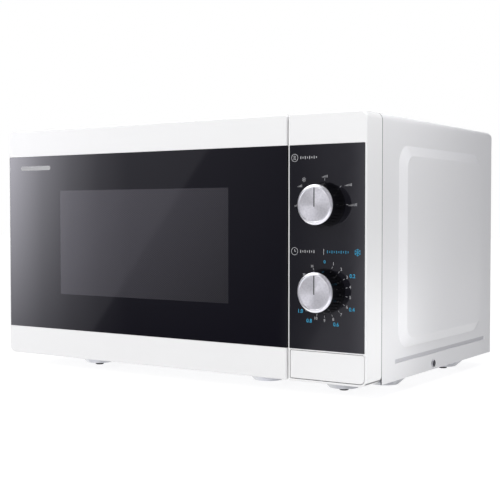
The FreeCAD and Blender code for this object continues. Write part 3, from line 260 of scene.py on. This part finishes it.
def powder(make, dull, full):
    """Powder coat on a very slightly uneven sheet: its grain, its colour and its bumps."""
    peel = make.noise(1100, 3.0)
    height = make.total((peel, 0.03 * MM), (make.noise(9, 1.0), 0.2 * MM))
    return peel, make.tint(peel, dull, full, 0.35, 0.65), make.bump(height, 0.5, 1.0)


def cavity_enamel():
    grey = rgb(0.58, 0.585, 0.59)
    make = Shader("cavity_enamel")
    peel, colour, normal = powder(make, shade(grey, 0.985), grey)
    make.surface_is(colour=colour, rough=make.vary(peel, 0.322, 0.385), normal=normal)
    return make.material


def cover_coat():
    """The cabinet's white coat, with painted shade: greyer in the groove along each side, and dark at
    the front edge as a shaded seam.
    """
    make = Shader("white_powder_coat")
    x, y, z = make.axes()
    peel, colour, normal = powder(make, rgb(0.775, 0.775, 0.78), rgb(0.79, 0.79, 0.795))
    # Painted shade: the floor of the pressed groove along each side is greyed as if shaded.
    groove_shade = make.patch(make.math("ABSOLUTE", x), COVER_HIGH.x - 7.8 * MM, COVER_HIGH.x - 5.3 * MM,
                        z, COVER_LOW.z + 15.9 * MM, COVER_LOW.z + 19.9 * MM, 0.2 * MM)
    colour = make.blend(groove_shade, colour, rgb(0.60, 0.60, 0.62))
    # Painted shade: the first fraction of a millimetre of the front edge is darkened to draw a shaded
    # seam line.
    seam_shade = make.between(y, COVER_LOW.y + 0.2 * MM, COVER_LOW.y + 0.4 * MM, 1.0, 0.0)
    make.surface_is(colour=make.blend(seam_shade, colour, rgb(0.07, 0.07, 0.075)),
                    rough=make.vary(peel, 0.34, 0.42), normal=normal)
    return make.material


def brushed(name, colour, rough, stretch):
    """Metal with fine lines; stretch is small along the lines."""
    make = Shader(name)
    lines = make.noise(900, 4.0, stretch)
    patches = make.noise(40)
    tone = make.math("ADD", make.vary(lines, 0.0, 0.7), make.vary(patches, 0.0, 0.3))
    make.surface_is(colour=make.blend(tone, shade(colour, 0.82), colour), metal=1.0,
                    rough=make.vary(lines, rough * 0.85, rough * 1.2),
                    normal=make.bump(lines, 0.12, 0.03 * MM))
    return make.material


def galvanised():
    """Zinc-coated sheet with its flower pattern."""
    zinc = rgb(0.62, 0.63, 0.65)
    make = Shader("galvanised_sheet")
    flowers = make.add("ShaderNodeTexVoronoi")
    make.link(make.place, flowers.inputs["Vector"])
    flowers.inputs["Scale"].default_value = 160
    parts = make.add("ShaderNodeSeparateColor")
    make.link(flowers.outputs["Color"], parts.inputs[0])
    make.surface_is(colour=make.blend(parts.outputs[0], shade(zinc, 0.78), zinc), metal=1.0,
                    rough=make.between(parts.outputs[1], 0.0, 1.0, 0.304, 0.475),
                    normal=make.bump(make.noise(700, 3.0), 0.1, 0.02 * MM))
    return make.material


def printed_glass():
    """Black printed door glass with a lighter dotted window that shows the screen behind it, with a
    painted sheen towards its upper left.
    """
    make = Shader("black_door_glass")
    x, _, z = make.axes()
    window = make.patch(x, WINDOW_LEFT, WINDOW_RIGHT, z, WINDOW_LOW, WINDOW_HIGH, 0.3 * MM)
    across = make.math("SINE", make.times(x, math.tau / SCREEN_PITCH))
    upward = make.math("SINE", make.times(z, math.tau / SCREEN_PITCH))
    dots = make.between(make.times(across, upward), -0.25, 0.45, 0.0, 1.0)
    screen = make.blend(dots, rgb(0.052, 0.050, 0.057), rgb(0.097, 0.094, 0.107))
    streaks = make.vary(make.noise(240, 2.0, (0.06, 1.0, 1.0)), 0.0, 0.5, 0.35, 0.65)
    screen = make.blend(streaks, screen, rgb(0.071, 0.069, 0.080))
    # Painted light: the screen gets lighter towards the window's upper left corner, a painted sheen as
    # if lit from there.
    light = make.math("ADD", make.total((x, -3.46), (z, 3.0)), 0.63)
    screen = make.blend(make.between(light, 0.0, 1.4, 0.0, 1.0), rgb(0.0, 0.0, 0.0), screen)
    make.surface_is(colour=make.blend(window, rgb(0.0044, 0.0041, 0.0075), screen), metal=window,
                    rough=make.between(window, 0.0, 1.0, 0.3, 0.55), specular=0.0,
                    coat=1.0, coat_rough=0.03)
    return make.material


def gloss_black(name, colour, rough):
    make = Shader(name)
    smear = make.noise(60, 3.0)
    make.surface_is(colour=colour, rough=make.vary(smear, rough * 0.8, rough * 1.3), ior=1.5,
                    normal=make.bump(make.noise(900), 0.05, 0.01 * MM))
    return make.material


def clear(name, colour, rough, weight, ior):
    make = Shader(name)
    make.surface_is(colour=colour, rough=make.vary(make.noise(400), rough * 0.8, rough * 1.2),
                    clear=weight, ior=ior)
    return make.material


def turned_cap():
    """Satin aluminium spun cap: fine concentric lines round each dial's own axis."""
    line_pitch = 0.35 * MM
    make = Shader("spun_aluminium")
    x, _, z = make.axes()
    distances = []
    for centre in (POWER, TIMER):
        run = make.math("SUBTRACT", x, centre.x)
        rise = make.math("SUBTRACT", z, centre.z)
        square = make.math("ADD", make.times(run, run), make.times(rise, rise))
        distances.append(make.math("SQRT", square))
    radius = make.math("MINIMUM", *distances)
    lines = make.math("SINE", make.times(radius, math.tau / line_pitch))
    wander = make.noise(500, 3.0)
    around = make.add("ShaderNodeTangent", direction_type="RADIAL", axis="Y").outputs[0]
    make.surface_is(colour=make.tint(wander, rgb(0.76, 0.76, 0.765), rgb(0.90, 0.90, 0.905)),
                    metal=1.0, rough=0.3, brushing=0.7, tangent=around,
                    normal=make.bump(make.math("ADD", lines, wander), 0.08, 0.02 * MM))
    return make.material


def choke_panel():
    """Black-enamelled steel pan whose middle is a screen of small round holes."""
    side_margin, end_margin = 12 * MM, 10 * MM
    hole_inner, hole_edge = 0.085, 0.125
    make = Shader("perforated_screen")
    x, _, z = make.axes()
    low, high = corners("door_inner_film")
    screen = make.patch(x, low.x + side_margin, high.x - side_margin,
                        z, low.z + end_margin, high.z - end_margin, 0.2 * MM)
    # The distance to the nearest hole's middle, squared, in pitches.
    offsets = [make.math("SUBTRACT", make.math("FRACT", make.math("DIVIDE", axis, SCREEN_PITCH)), 0.5)
               for axis in (x, z)]
    square = make.math("ADD", *[make.times(offset, offset) for offset in offsets])
    hole = make.times(make.between(square, hole_inner, hole_edge, 1.0, 0.0), screen)
    grain = make.noise(900)
    make.surface_is(colour=make.blend(hole, rgb(0.10, 0.10, 0.105), rgb(0.004, 0.004, 0.005)),
                    rough=make.vary(grain, 0.38, 0.5), normal=make.bump(grain, 0.15, 0.02 * MM))
    return make.material


def laminated():
    """Stacked transformer laminations under varnish."""
    sheet_pitch = 1.0 * MM
    make = Shader("laminations")
    x, _, _ = make.axes()
    sheets = make.math("SINE", make.times(x, math.tau / sheet_pitch))
    rust = make.noise(120, 4.0)
    make.surface_is(colour=make.tint(rust, rgb(0.10, 0.10, 0.11), rgb(0.20, 0.12, 0.08), 0.4, 0.75),
                    metal=0.8, rough=make.between(sheets, -1.0, 1.0, 0.35, 0.6),
                    normal=make.bump(sheets, 0.3, 0.1 * MM))
    return make.material


def wound_copper():
    wire_pitch = 1.4 * MM
    make = Shader("enamelled_wire")
    _, _, z = make.axes()
    # Painted shade: the copper is darkened to a shaded copy of itself in the creases between the wire
    # turns; the same stripes give the turns their bumps.
    turns = make.math("ABSOLUTE", make.math("SINE", make.times(z, math.pi / wire_pitch)))
    make.surface_is(colour=make.blend(turns, rgb(0.16, 0.05, 0.015), rgb(0.62, 0.25, 0.09)),
                    metal=0.9, rough=0.3, normal=make.bump(turns, 0.6, 0.4 * MM))
    return make.material


def rubbery():
    make = Shader("foot_rubber")
    dust = make.noise(260, 4.0)
    make.surface_is(colour=make.tint(dust, rgb(0.012, 0.012, 0.012), rgb(0.03, 0.03, 0.03), 0.4, 0.8),
                    rough=make.vary(dust, 0.65, 0.85), normal=make.bump(dust, 0.2, 0.05 * MM))
    return make.material


def ink(name, colour):
    make = Shader(name)
    patchy = make.noise(1500)
    make.surface_is(colour=make.tint(patchy, shade(colour, 0.9), colour),
                    rough=make.vary(patchy, 0.4, 0.55))
    return make.material


MATERIALS = {
    "front": front_moulding(),
    "cover": cover_coat(),
    "enamel": cavity_enamel(),
    "zinc": galvanised(),
    "steel": brushed("screw_steel", rgb(0.55, 0.55, 0.57), 0.3, (1.0, 0.2, 1.0)),
    "shafts": brushed("shaft_steel", rgb(0.60, 0.60, 0.62), 0.28, (1.0, 0.1, 1.0)),
    "alloy": brushed("aluminium_sheet", rgb(0.70, 0.71, 0.73), 0.33, (1.0, 0.15, 1.0)),
    "antenna": brushed("plated_antenna", rgb(0.78, 0.70, 0.52), 0.2, (0.1, 1.0, 1.0)),
    "glass": printed_glass(),
    "fascia": gloss_black("control_fascia", rgb(0.008, 0.0078, 0.0115), 0.06),
    "knob": gloss_black("dial_black", rgb(0.003, 0.003, 0.004), 0.12),
    "cap": turned_cap(),
    "black": moulded("black_moulding", rgb(0.020, 0.020, 0.021), 0.42),
    "grey": moulded("grey_moulding", rgb(0.22, 0.22, 0.23), 0.45),
    "nylon": moulded("natural_nylon", rgb(0.72, 0.69, 0.60), 0.4),
    "red": moulded("red_switch_case", rgb(0.42, 0.03, 0.02), 0.4),
    "board": moulded("circuit_board", rgb(0.03, 0.11, 0.05), 0.35),
    "mica": moulded("mica_sheet", rgb(0.42, 0.36, 0.24), 0.5, grain=600),
    "rubber": rubbery(),
    "laminated": laminated(),
    "copper": wound_copper(),
    "screen": choke_panel(),
    "tray": clear("tray_glass", rgb(0.93, 0.98, 0.96), 0.03, weight=1.0, ior=1.5),
    "film": clear("clear_film", rgb(0.95, 0.96, 0.96), 0.08, weight=0.9, ior=1.3),
    "bulb": clear("lamp_glass", rgb(0.98, 0.96, 0.90), 0.05, weight=0.9, ior=1.4),
}

FINISH = {
    "front": ["door_frame", "control_panel_housing", "release_button"],
    "cover": ["outer_cabinet"],
    "enamel": ["oven_cavity", "front_plate"],
    "zinc": ["rear_panel", "base_plate", "waveguide", "hinge_lower", "hinge_upper", "turntable_motor"],
    "steel": ["cabinet_screws", "latch_spring", "button_spring"],
    "shafts": ["power_shaft", "timer_shaft"],
    "alloy": ["magnetron", "capacitor"],
    "antenna": ["magnetron_antenna"],
    "glass": ["door_glass"],
    "fascia": ["control_panel_overlay"],
    "knob": ["power_knob", "timer_knob"],
    "cap": ["power_knob_cap", "timer_knob_cap"],
    "black": ["door_choke_cover", "cord_gland", "high_voltage_diode", "thermal_cutout",
              "switch_plunger_1", "switch_plunger_2", "switch_plunger_3"],
    "grey": ["fan_shroud"],
    "nylon": ["door_latch", "release_lever", "interlock_bracket", "turntable_coupler", "roller_ring",
              "roller_1", "roller_2", "roller_3", "fan_blade", "lamp_holder", "timer_unit",
              "power_selector"],
    "red": ["interlock_switches"],
    "board": ["filter_board"],
    "mica": ["waveguide_cover"],
    "rubber": ["foot_front_left", "foot_front_right", "foot_rear_left", "foot_rear_right"],
    "laminated": ["transformer_core", "fan_motor"],
    "copper": ["transformer_windings"],
    "screen": ["door_inner_panel"],
    "tray": ["glass_tray"],
    "film": ["door_inner_film"],
    "bulb": ["cavity_lamp"],
}


def paint(thing, material):
    thing.data.materials.clear()
    thing.data.materials.append(material)


for finish, names in FINISH.items():
    for name in names:
        paint(NODES[name], MATERIALS[finish])


def place_piece(name, mesh, material):
    """A new object in the scene with one material."""
    piece = bpy.data.objects.new(name, mesh)
    scene.collection.objects.link(piece)
    mesh.materials.append(material)
    return piece


# ---------------------------------------------------------------- thin printed shapes

PRINT_DEPTH = 0.06 * MM
# A numeral's height as a share of its font size, and the share of it that thickens its lines.
NUMERAL_SHARE = 0.72
NUMERAL_BOLD = 0.025


class Print:
    """Flat shapes on a plane facing -Y, gathered into one thin raised mesh."""

    def __init__(self, y):
        self.y = y
        self.mesh = bmesh.new()

    def shape(self, outline):
        """Add one closed outline of (x, z) points, anticlockwise seen from the front."""
        front = [self.mesh.verts.new((x, self.y - PRINT_DEPTH, z)) for x, z in outline]
        back = [self.mesh.verts.new((x, self.y, z)) for x, z in outline]
        self.mesh.faces.new(front)
        self.mesh.faces.new(reversed(back))
        for number in range(len(outline)):
            after = (number + 1) % len(outline)
            self.mesh.faces.new((front[number], back[number], back[after], front[after]))

    def bar(self, x, z, width, height, turn=0.0):
        """A bar centred on (x, z), turned clockwise by an angle."""
        run, rise = width / 2, height / 2
        sine, cosine = math.sin(turn), math.cos(turn)
        self.shape([(x + a * cosine + b * sine, z - a * sine + b * cosine)
                    for a, b in ((-run, -rise), (run, -rise), (run, rise), (-run, rise))])

    def ring(self, x, z, radius, line, steps=48):
        """A thin circle, made of short bars that overlap a little."""
        length = math.tau * radius / steps * 1.1
        for step in range(steps):
            turn = math.tau * step / steps
            self.bar(x + radius * math.sin(turn), z + radius * math.cos(turn), length, line, turn)

    def pill(self, x, z, width, height, steps=10):
        """A bar with round ends."""
        radius = height / 2
        outline = []
        for side in (1, -1):
            for step in range(steps + 1):
                turn = math.pi * step / steps
                outline.append((x + side * (width / 2 - radius + radius * math.sin(turn)),
                                z - side * radius * math.cos(turn)))
        self.shape(outline)

    def snowflake(self, x, z, width, line):
        """Three crossing bars with a small fork near each end."""
        fork_radius, fork_spread = 0.36 * width, 0.22
        for arm in range(3):
            self.bar(x, z, line, width, math.radians(60 * arm))
        for arm in range(6):
            turn = math.radians(60 * arm)
            for side in (-1, 1):
                at = turn + side * fork_spread
                self.bar(x + fork_radius * math.sin(at), z + fork_radius * math.cos(at),
                         0.8 * line, 0.22 * width, turn + side * math.radians(45))

    def strokes(self, x, z, count):
        """A row of upright strokes, tall and short in turn, in place of a word."""
        for step in range(count):
            height = (1.6 if step % 2 else 2.6) * MM
            self.bar(x + 2.3 * MM * step, z, 0.6 * MM, height)

    def number(self, text, x, z, height):
        """A numeral centred on (x, z)."""
        curve = bpy.data.curves.new("numeral", "FONT")
        curve.body = text
        curve.size = height / NUMERAL_SHARE
        curve.align_x = "CENTER"
        curve.align_y = "CENTER"
        curve.resolution_u = 4
        curve.extrude = PRINT_DEPTH / 2
        curve.offset = height * NUMERAL_BOLD
        holder = bpy.data.objects.new("numeral", curve)
        flat = bpy.data.meshes.new_from_object(holder)
        start = len(self.mesh.verts)
        self.mesh.from_mesh(flat)
        self.mesh.verts.ensure_lookup_table()
        for vertex in self.mesh.verts[start:]:
            across, up, depth = vertex.co
            vertex.co = (x + across, self.y - PRINT_DEPTH / 2 - depth, z + up)
        bpy.data.objects.remove(holder)
        bpy.data.curves.remove(curve)
        bpy.data.meshes.remove(flat)

    def finish(self, name, body, material, slot):
        bmesh.ops.remove_doubles(self.mesh, verts=self.mesh.verts, dist=1e-7)
        mesh = bpy.data.meshes.new(name)
        self.mesh.to_mesh(mesh)
        self.mesh.free()
        piece = place_piece(name, mesh, material)
        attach(piece, body)


WHITE_INK = ink("white_ink", rgb(0.62, 0.62, 0.63))
SCALE_INK = ink("scale_ink", rgb(0.42, 0.42, 0.43))
BLUE_INK = ink("blue_ink", rgb(0.015, 0.33, 0.56))
GREY_INK = ink("grey_ink", rgb(0.36, 0.36, 0.37))
SILVER_INK = ink("silver_ink", rgb(0.45, 0.45, 0.46))
DARK_INK = ink("dark_ink", rgb(0.008, 0.008, 0.009))


def on_dial(centre, degrees, radius):
    """A point on a dial, clockwise from the top, and its angle in radians."""
    turn = math.radians(degrees)
    return centre.x + radius * math.sin(turn), centre.z + radius * math.cos(turn), turn


def timer_scale():
    """Minutes round the timer, even up to ten and closer after that, and weights outside them."""
    white, blue = Print(PANEL_Y), Print(PANEL_Y)
    early = [(minutes, 20.0 * minutes, 26.2 * MM, 2.7 * MM) for minutes in range(1, 11)]
    late = [(minutes, 200.0 + 5.2 * (minutes - 10), 25.4 * MM, 2.1 * MM)
            for minutes in range(15, 36, 5)]
    for minutes, degrees, radius, height in early + late:
        x, z, turn = on_dial(TIMER, degrees, 22.6 * MM)
        white.bar(x, z, 0.45 * MM, 1.8 * MM, turn)
        x, z, _ = on_dial(TIMER, degrees, radius)
        white.number(str(minutes), x, z, height)
    blue.number("0", TIMER.x, TIMER.z + 26.2 * MM, 3.0 * MM)
    for text, degrees in (("0.2", 63), ("0.4", 119), ("0.6", 158), ("0.8", 210), ("1.0", 233)):
        x, z, _ = on_dial(TIMER, degrees, 31.4 * MM)
        blue.number(text, x, z, 3.4 * MM)
    white.finish("timer_scale", "case", SCALE_INK, "white_plastic")
    blue.finish("weight_scale", "case", BLUE_INK, "white_plastic")


def power_scale():
    """Five power steps: a tick each, and a rising row of strokes that grows with the power."""
    scale = Print(PANEL_Y)
    stroke_pitch, stroke_foot = 1.25, -1.3
    # Clockwise angle, then where the middle of the row stands from the shaft, in millimetres.
    steps = [(-90, -29.5, 0.0), (-45, -25.6, 17.4), (0, 0.0, 25.5), (45, 23.6, 17.5), (90, 28.1, 0.0)]
    for step, (degrees, run, rise) in enumerate(steps):
        x, z, turn = on_dial(POWER, degrees, 22.5 * MM)
        scale.bar(x, z, 0.5 * MM, 2.0 * MM, turn)
        count = 3 + step
        for stroke in range(count):
            height = 0.9 + 1.9 * stroke / count
            across = run + (stroke - (count - 1) / 2) * stroke_pitch
            scale.bar(POWER.x + across * MM, POWER.z + (rise + stroke_foot + height / 2) * MM,
                      0.6 * MM, height * MM)
    scale.snowflake(POWER.x - 21.3 * MM, POWER.z + 22.7 * MM, 4.2 * MM, 0.35 * MM)
    scale.finish("power_scale", "case", GREY_INK, "white_plastic")


def headings():
    """A pictogram over each dial: waves for power, a clock for time, a flake for defrosting."""
    left = TIMER.x - 31.1 * MM
    power_z = POWER.z + 42.5 * MM
    timer_z = TIMER.z + 35.2 * MM
    white = Print(PANEL_Y)
    for z in (power_z, timer_z):
        white.ring(left, z, 3.3 * MM, 0.35 * MM)
    for row in (-1, 0, 1):
        for side in (-1, 1):
            white.bar(left + side * 0.65 * MM, power_z + row * 1.3 * MM, 1.4 * MM, 0.35 * MM,
                      side * math.radians(28))
    white.bar(left, timer_z + 0.9 * MM, 0.4 * MM, 2.0 * MM)
    white.bar(left + 0.7 * MM, timer_z, 1.6 * MM, 0.4 * MM)
    white.strokes(left + 6.4 * MM, power_z, 8)
    white.strokes(left + 6.4 * MM, timer_z, 7)
    white.bar(left + 30.2 * MM, timer_z, 0.35 * MM, 5.2 * MM)
    white.finish("dial_headings", "case", WHITE_INK, "white_plastic")
    blue = Print(PANEL_Y)
    blue.strokes(left + 34.0 * MM, timer_z, 10)
    blue.snowflake(left + 64.0 * MM, timer_z, 6.4 * MM, 0.5 * MM)
    blue.finish("defrost_heading", "case", BLUE_INK, "white_plastic")


def blank_badge():
    """A plain silver pill in the upper left corner of the glass."""
    badge = Print(GLASS_LOW.y)
    badge.pill(GLASS_LOW.x + 39 * MM, GLASS_HIGH.z - 12.5 * MM, 44 * MM, 4.6 * MM)
    badge.finish("blank_badge", "door", SILVER_INK, "chrome")


def pointers():
    """The dark line on each dial cap, from near the middle to near the rim."""
    face_depth = 0.5 * MM
    for dial, centre in (("power", POWER), ("timer", TIMER)):
        line = Print(CAP_Y + face_depth)
        line.bar(centre.x, centre.z + 7.1 * MM, 1.0 * MM, 17.8 * MM)
        line.finish(dial + "_pointer", dial + "_dial", DARK_INK, "black_gloss")


# ---------------------------------------------------------------- springs

WIRE_RADIUS = 0.4 * MM
WIRE_SIDES = 10
STEPS_PER_TURN = 28
# The end coils give the middle ones this share of their pitch, divided by the number of turns.
END_CLOSING = 1.1


def unit(axis):
    return Vector([1.0 if number == axis else 0.0 for number in range(3)])


def coil_mesh(name, low, high, along, turns):
    """A wire helix that fills the box from low to high and climbs along one axis."""
    up = unit(along)
    first, second = [unit(axis) for axis in range(3) if axis != along]
    radius = (high - low).dot(first) / 2 - WIRE_RADIUS
    length = (high - low).dot(up) - 2 * WIRE_RADIUS
    foot = (low + high - up * length) / 2
    angles = [math.tau * side / WIRE_SIDES for side in range(WIRE_SIDES)]
    steps = STEPS_PER_TURN * turns
    mesh = bmesh.new()
    rings = []
    for step in range(steps + 1):
        share = step / steps
        turn = math.tau * turns * share
        rise = share - END_CLOSING / (math.tau * turns) * math.sin(math.tau * share)
        out = first * math.cos(turn) + second * math.sin(turn)
        core = foot + up * (length * rise) + out * radius
        rings.append([mesh.verts.new(core + (out * math.cos(angle) + up * math.sin(angle)) * WIRE_RADIUS)
                      for angle in angles])
    for ring, following in zip(rings, rings[1:]):
        for side in range(WIRE_SIDES):
            after = (side + 1) % WIRE_SIDES
            mesh.faces.new((ring[side], ring[after], following[after], following[side]))
    mesh.faces.new(reversed(rings[0]))
    mesh.faces.new(rings[-1])
    bmesh.ops.recalc_face_normals(mesh, faces=mesh.faces)
    data = bpy.data.meshes.new(name)
    mesh.to_mesh(data)
    mesh.free()
    data.shade_smooth()
    return data


def coil_spring(node, body, along, turns):
    """A compression spring in its node's place, hung on its body in place of the hidden node."""
    low, high = corners(node)
    name = node + "_coil"
    piece = place_piece(name, coil_mesh(name, low, high, along, turns), MATERIALS["steel"])
    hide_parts(node)
    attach(piece, body)
    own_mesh(piece)


coil_spring("latch_spring", "door", along=2, turns=9)
coil_spring("button_spring", "case", along=1, turns=6)
timer_scale()
power_scale()
headings()
blank_badge()
pointers()


# ---------------------------------------------------------------- floor, light and camera

FLOOR_HALF_WIDTH = 6.0
# How bright the floor is to the camera, and how bright it is as a light on the case.
FLOOR_SEEN = 0.84
FLOOR_BOUNCE = 0.57

# What the glossy front mirrors, as (x/y of the reflected ray, level): a narrow bright strip for
# the control panel, dark room, then a bright window off to the left of the door.
MIRRORED_STRIPS = [
    (0.40, 0.02), (0.47, 0.02), (0.50, 0.24), (0.517, 0.115), (0.53, 0.055), (0.565, 0.048),
    (0.60, 0.022), (0.70, 0.032), (0.85, 0.043), (0.90, 0.10), (0.95, 0.235), (1.00, 0.47),
    (1.06, 1.0), (1.09, 0.9), (1.15, 0.08)]
# The control panel mirrors what lies below PANEL_END, and the door what lies above DOOR_START.
PANEL_END = 0.62
DOOR_START = 0.63
FADE_START = 0.61
MIRROR_STRENGTH = 8.0

# Lamps: name, place, the point it faces, its width in metres, its power in watts.
LAMPS = [
    ("key_light", (-0.7, -1.7, 1.1), (0.0, 0.0, 0.12), 1.2, 4.6),
    ("side_light", (0.38, -0.14, 0.46), (COVER_HIGH.x, -0.09, 0.19), 0.15, 0.58),
    ("low_light", (0.32, -0.12, 0.03), (COVER_HIGH.x, -0.11, 0.04), 0.12, 0.09),
    ("rear_light", (0.34, 0.09, 0.03), (COVER_HIGH.x, 0.09, 0.03), 0.12, 0.03)]

CAMERA_PLACE = (0.6269, -0.94086, 0.16523)
CAMERA_YAW = -0.58572
CAMERA_PITCH = -0.033535
CAMERA_LENS = 73.86
CAMERA_SENSOR = 36.0


def plain_floor():
    half = FLOOR_HALF_WIDTH
    mesh = bpy.data.meshes.new("floor")
    mesh.from_pydata([(-half, -half, 0), (half, -half, 0), (half, half, 0), (-half, half, 0)],
                     [], [(0, 1, 2, 3)])
    make = Shader("floor_white")
    seen = make.add("ShaderNodeLightPath").outputs["Is Camera Ray"]
    make.surface_is(colour=rgb(0.3, 0.3, 0.3), rough=0.9, specular=0.0, glow=rgb(1.0, 1.0, 1.0),
                    glow_strength=make.between(seen, 0.0, 1.0, FLOOR_BOUNCE, FLOOR_SEEN))
    floor = place_piece("floor", mesh, make.material)
    floor.visible_glossy = False


def softbox(name, place, aim, size, power):
    """A square lamp that lights without showing up in reflections or in the view."""
    light = bpy.data.lights.new(name, "AREA")
    light.size = size
    light.energy = power
    lamp = bpy.data.objects.new(name, light)
    lamp.location = place
    lamp.rotation_euler = (Vector(aim) - Vector(place)).to_track_quat("-Z", "Y").to_euler()
    lamp.visible_glossy = False
    lamp.visible_camera = False
    scene.collection.objects.link(lamp)


def mirrored_room(make, x, y, z):
    """What the glossy front mirrors: the strips, and a faint slanted sheen on door and panel."""
    across = make.math("DIVIDE", x, y)
    upward = make.math("DIVIDE", z, make.times(y, -1.0))
    door = make.between(across, PANEL_END, DOOR_START, 0.0, 1.0)
    panel = make.between(across, PANEL_END, DOOR_START, 1.0, 0.0)
    door_slant = make.total((across, 1.0), (upward, 0.8086))
    door_sheen = make.times(make.between(door_slant, 0.786, 0.790, 0.0, 0.028), door)
    panel_slant = make.total((across, 1.0), (upward, 0.664))
    panel_sheen = make.times(make.between(panel_slant, 0.487, 0.484, 0.0, 0.035), panel)

    # The strips fade towards the bottom of the door only, and light ground shows low down everywhere.
    fade = make.math("MAXIMUM", make.between(upward, -0.15, 0.075, 0.28, 1.0),
                     make.between(across, FADE_START, DOOR_START, 1.0, 0.0))
    strips = make.math("ADD", make.ramp(across, MIRRORED_STRIPS), panel_sheen)
    ground = make.between(z, -0.25, -0.40, 0.0, 0.1)
    level = make.math("ADD", make.math("ADD", make.times(strips, fade), door_sheen), ground)

    room = make.add("ShaderNodeBackground")
    make.link(make.blend(level, rgb(0.0, 0.0, 0.0), rgb(1.0, 0.985, 1.08)), room.inputs["Color"])
    room.inputs["Strength"].default_value = MIRROR_STRENGTH
    return room.outputs[0]


def open_sky(make, x, y, z, glossy):
    """Soft light from all round, strongest from the front left; glossy rays see glints as well."""
    slope = make.math("ADD", make.total((x, -0.9), (y, -0.8), (z, 0.35)), 0.64)
    soft = make.math("MAXIMUM", slope, 0.14)
    overhead = make.between(z, 0.60, 0.72, 0.0, 7.0)
    beside = make.between(make.total((x, 0.74), (y, -0.1), (z, 0.66)), 0.94, 0.965, 0.0, 4.0)
    below = make.between(z, -0.25, -0.40, 0.0, 0.8)
    glints = make.times(make.total((overhead, 1.0), (beside, 1.0), (below, 1.0)), glossy)
    colour = make.blend(make.between(x, 0.0, 0.8, 0.0, 1.0), rgb(0.8, 0.8, 0.8), rgb(0.72, 0.72, 0.84))
    sky = make.add("ShaderNodeBackground")
    make.link(colour, sky.inputs["Color"])
    make.link(make.math("ADD", soft, glints), sky.inputs["Strength"])
    return sky.outputs[0]


def choose(make, factor, first, second):
    """The first background where the factor is 0, and the second where it is 1."""
    mix = make.add("ShaderNodeMixShader")
    for socket, source in zip(mix.inputs, (factor, first, second)):
        make.link(source, socket)
    return mix.outputs[0]


def studio():
    """White to the camera, a dark room to glossy rays that leave forwards, and open sky to the rest."""
    world = bpy.data.worlds.new("studio")
    scene.world = world
    world.use_nodes = True
    make = Graph(world.node_tree)
    rays = make.add("ShaderNodeLightPath").outputs
    x, y, z = make.split(make.add("ShaderNodeTexCoord").outputs["Generated"])
    white = world.node_tree.nodes["Background"]
    white.inputs["Color"].default_value = rgb(1.0, 1.0, 1.0)
    sky = open_sky(make, x, y, z, rays["Is Glossy Ray"])
    forward = make.times(rays["Is Glossy Ray"], make.math("LESS_THAN", y, -0.1))
    lit = choose(make, forward, sky, mirrored_room(make, x, y, z))
    seen = choose(make, rays["Is Camera Ray"], lit, white.outputs[0])
    make.link(seen, world.node_tree.nodes["World Output"].inputs["Surface"])
    for lamp in LAMPS:
        softbox(*lamp)


def place_camera():
    data = bpy.data.cameras.new("camera")
    data.lens = CAMERA_LENS
    data.sensor_width = CAMERA_SENSOR
    camera = bpy.data.objects.new("camera", data)
    camera.location = CAMERA_PLACE
    level = math.cos(CAMERA_PITCH)
    forward = Vector((math.sin(CAMERA_YAW) * level, math.cos(CAMERA_YAW) * level,
                      math.sin(CAMERA_PITCH)))
    camera.rotation_euler = forward.to_track_quat("-Z", "Y").to_euler()
    scene.collection.objects.link(camera)
    scene.camera = camera


plain_floor()
studio()
place_camera()
scene.view_settings.view_transform = "Standard"
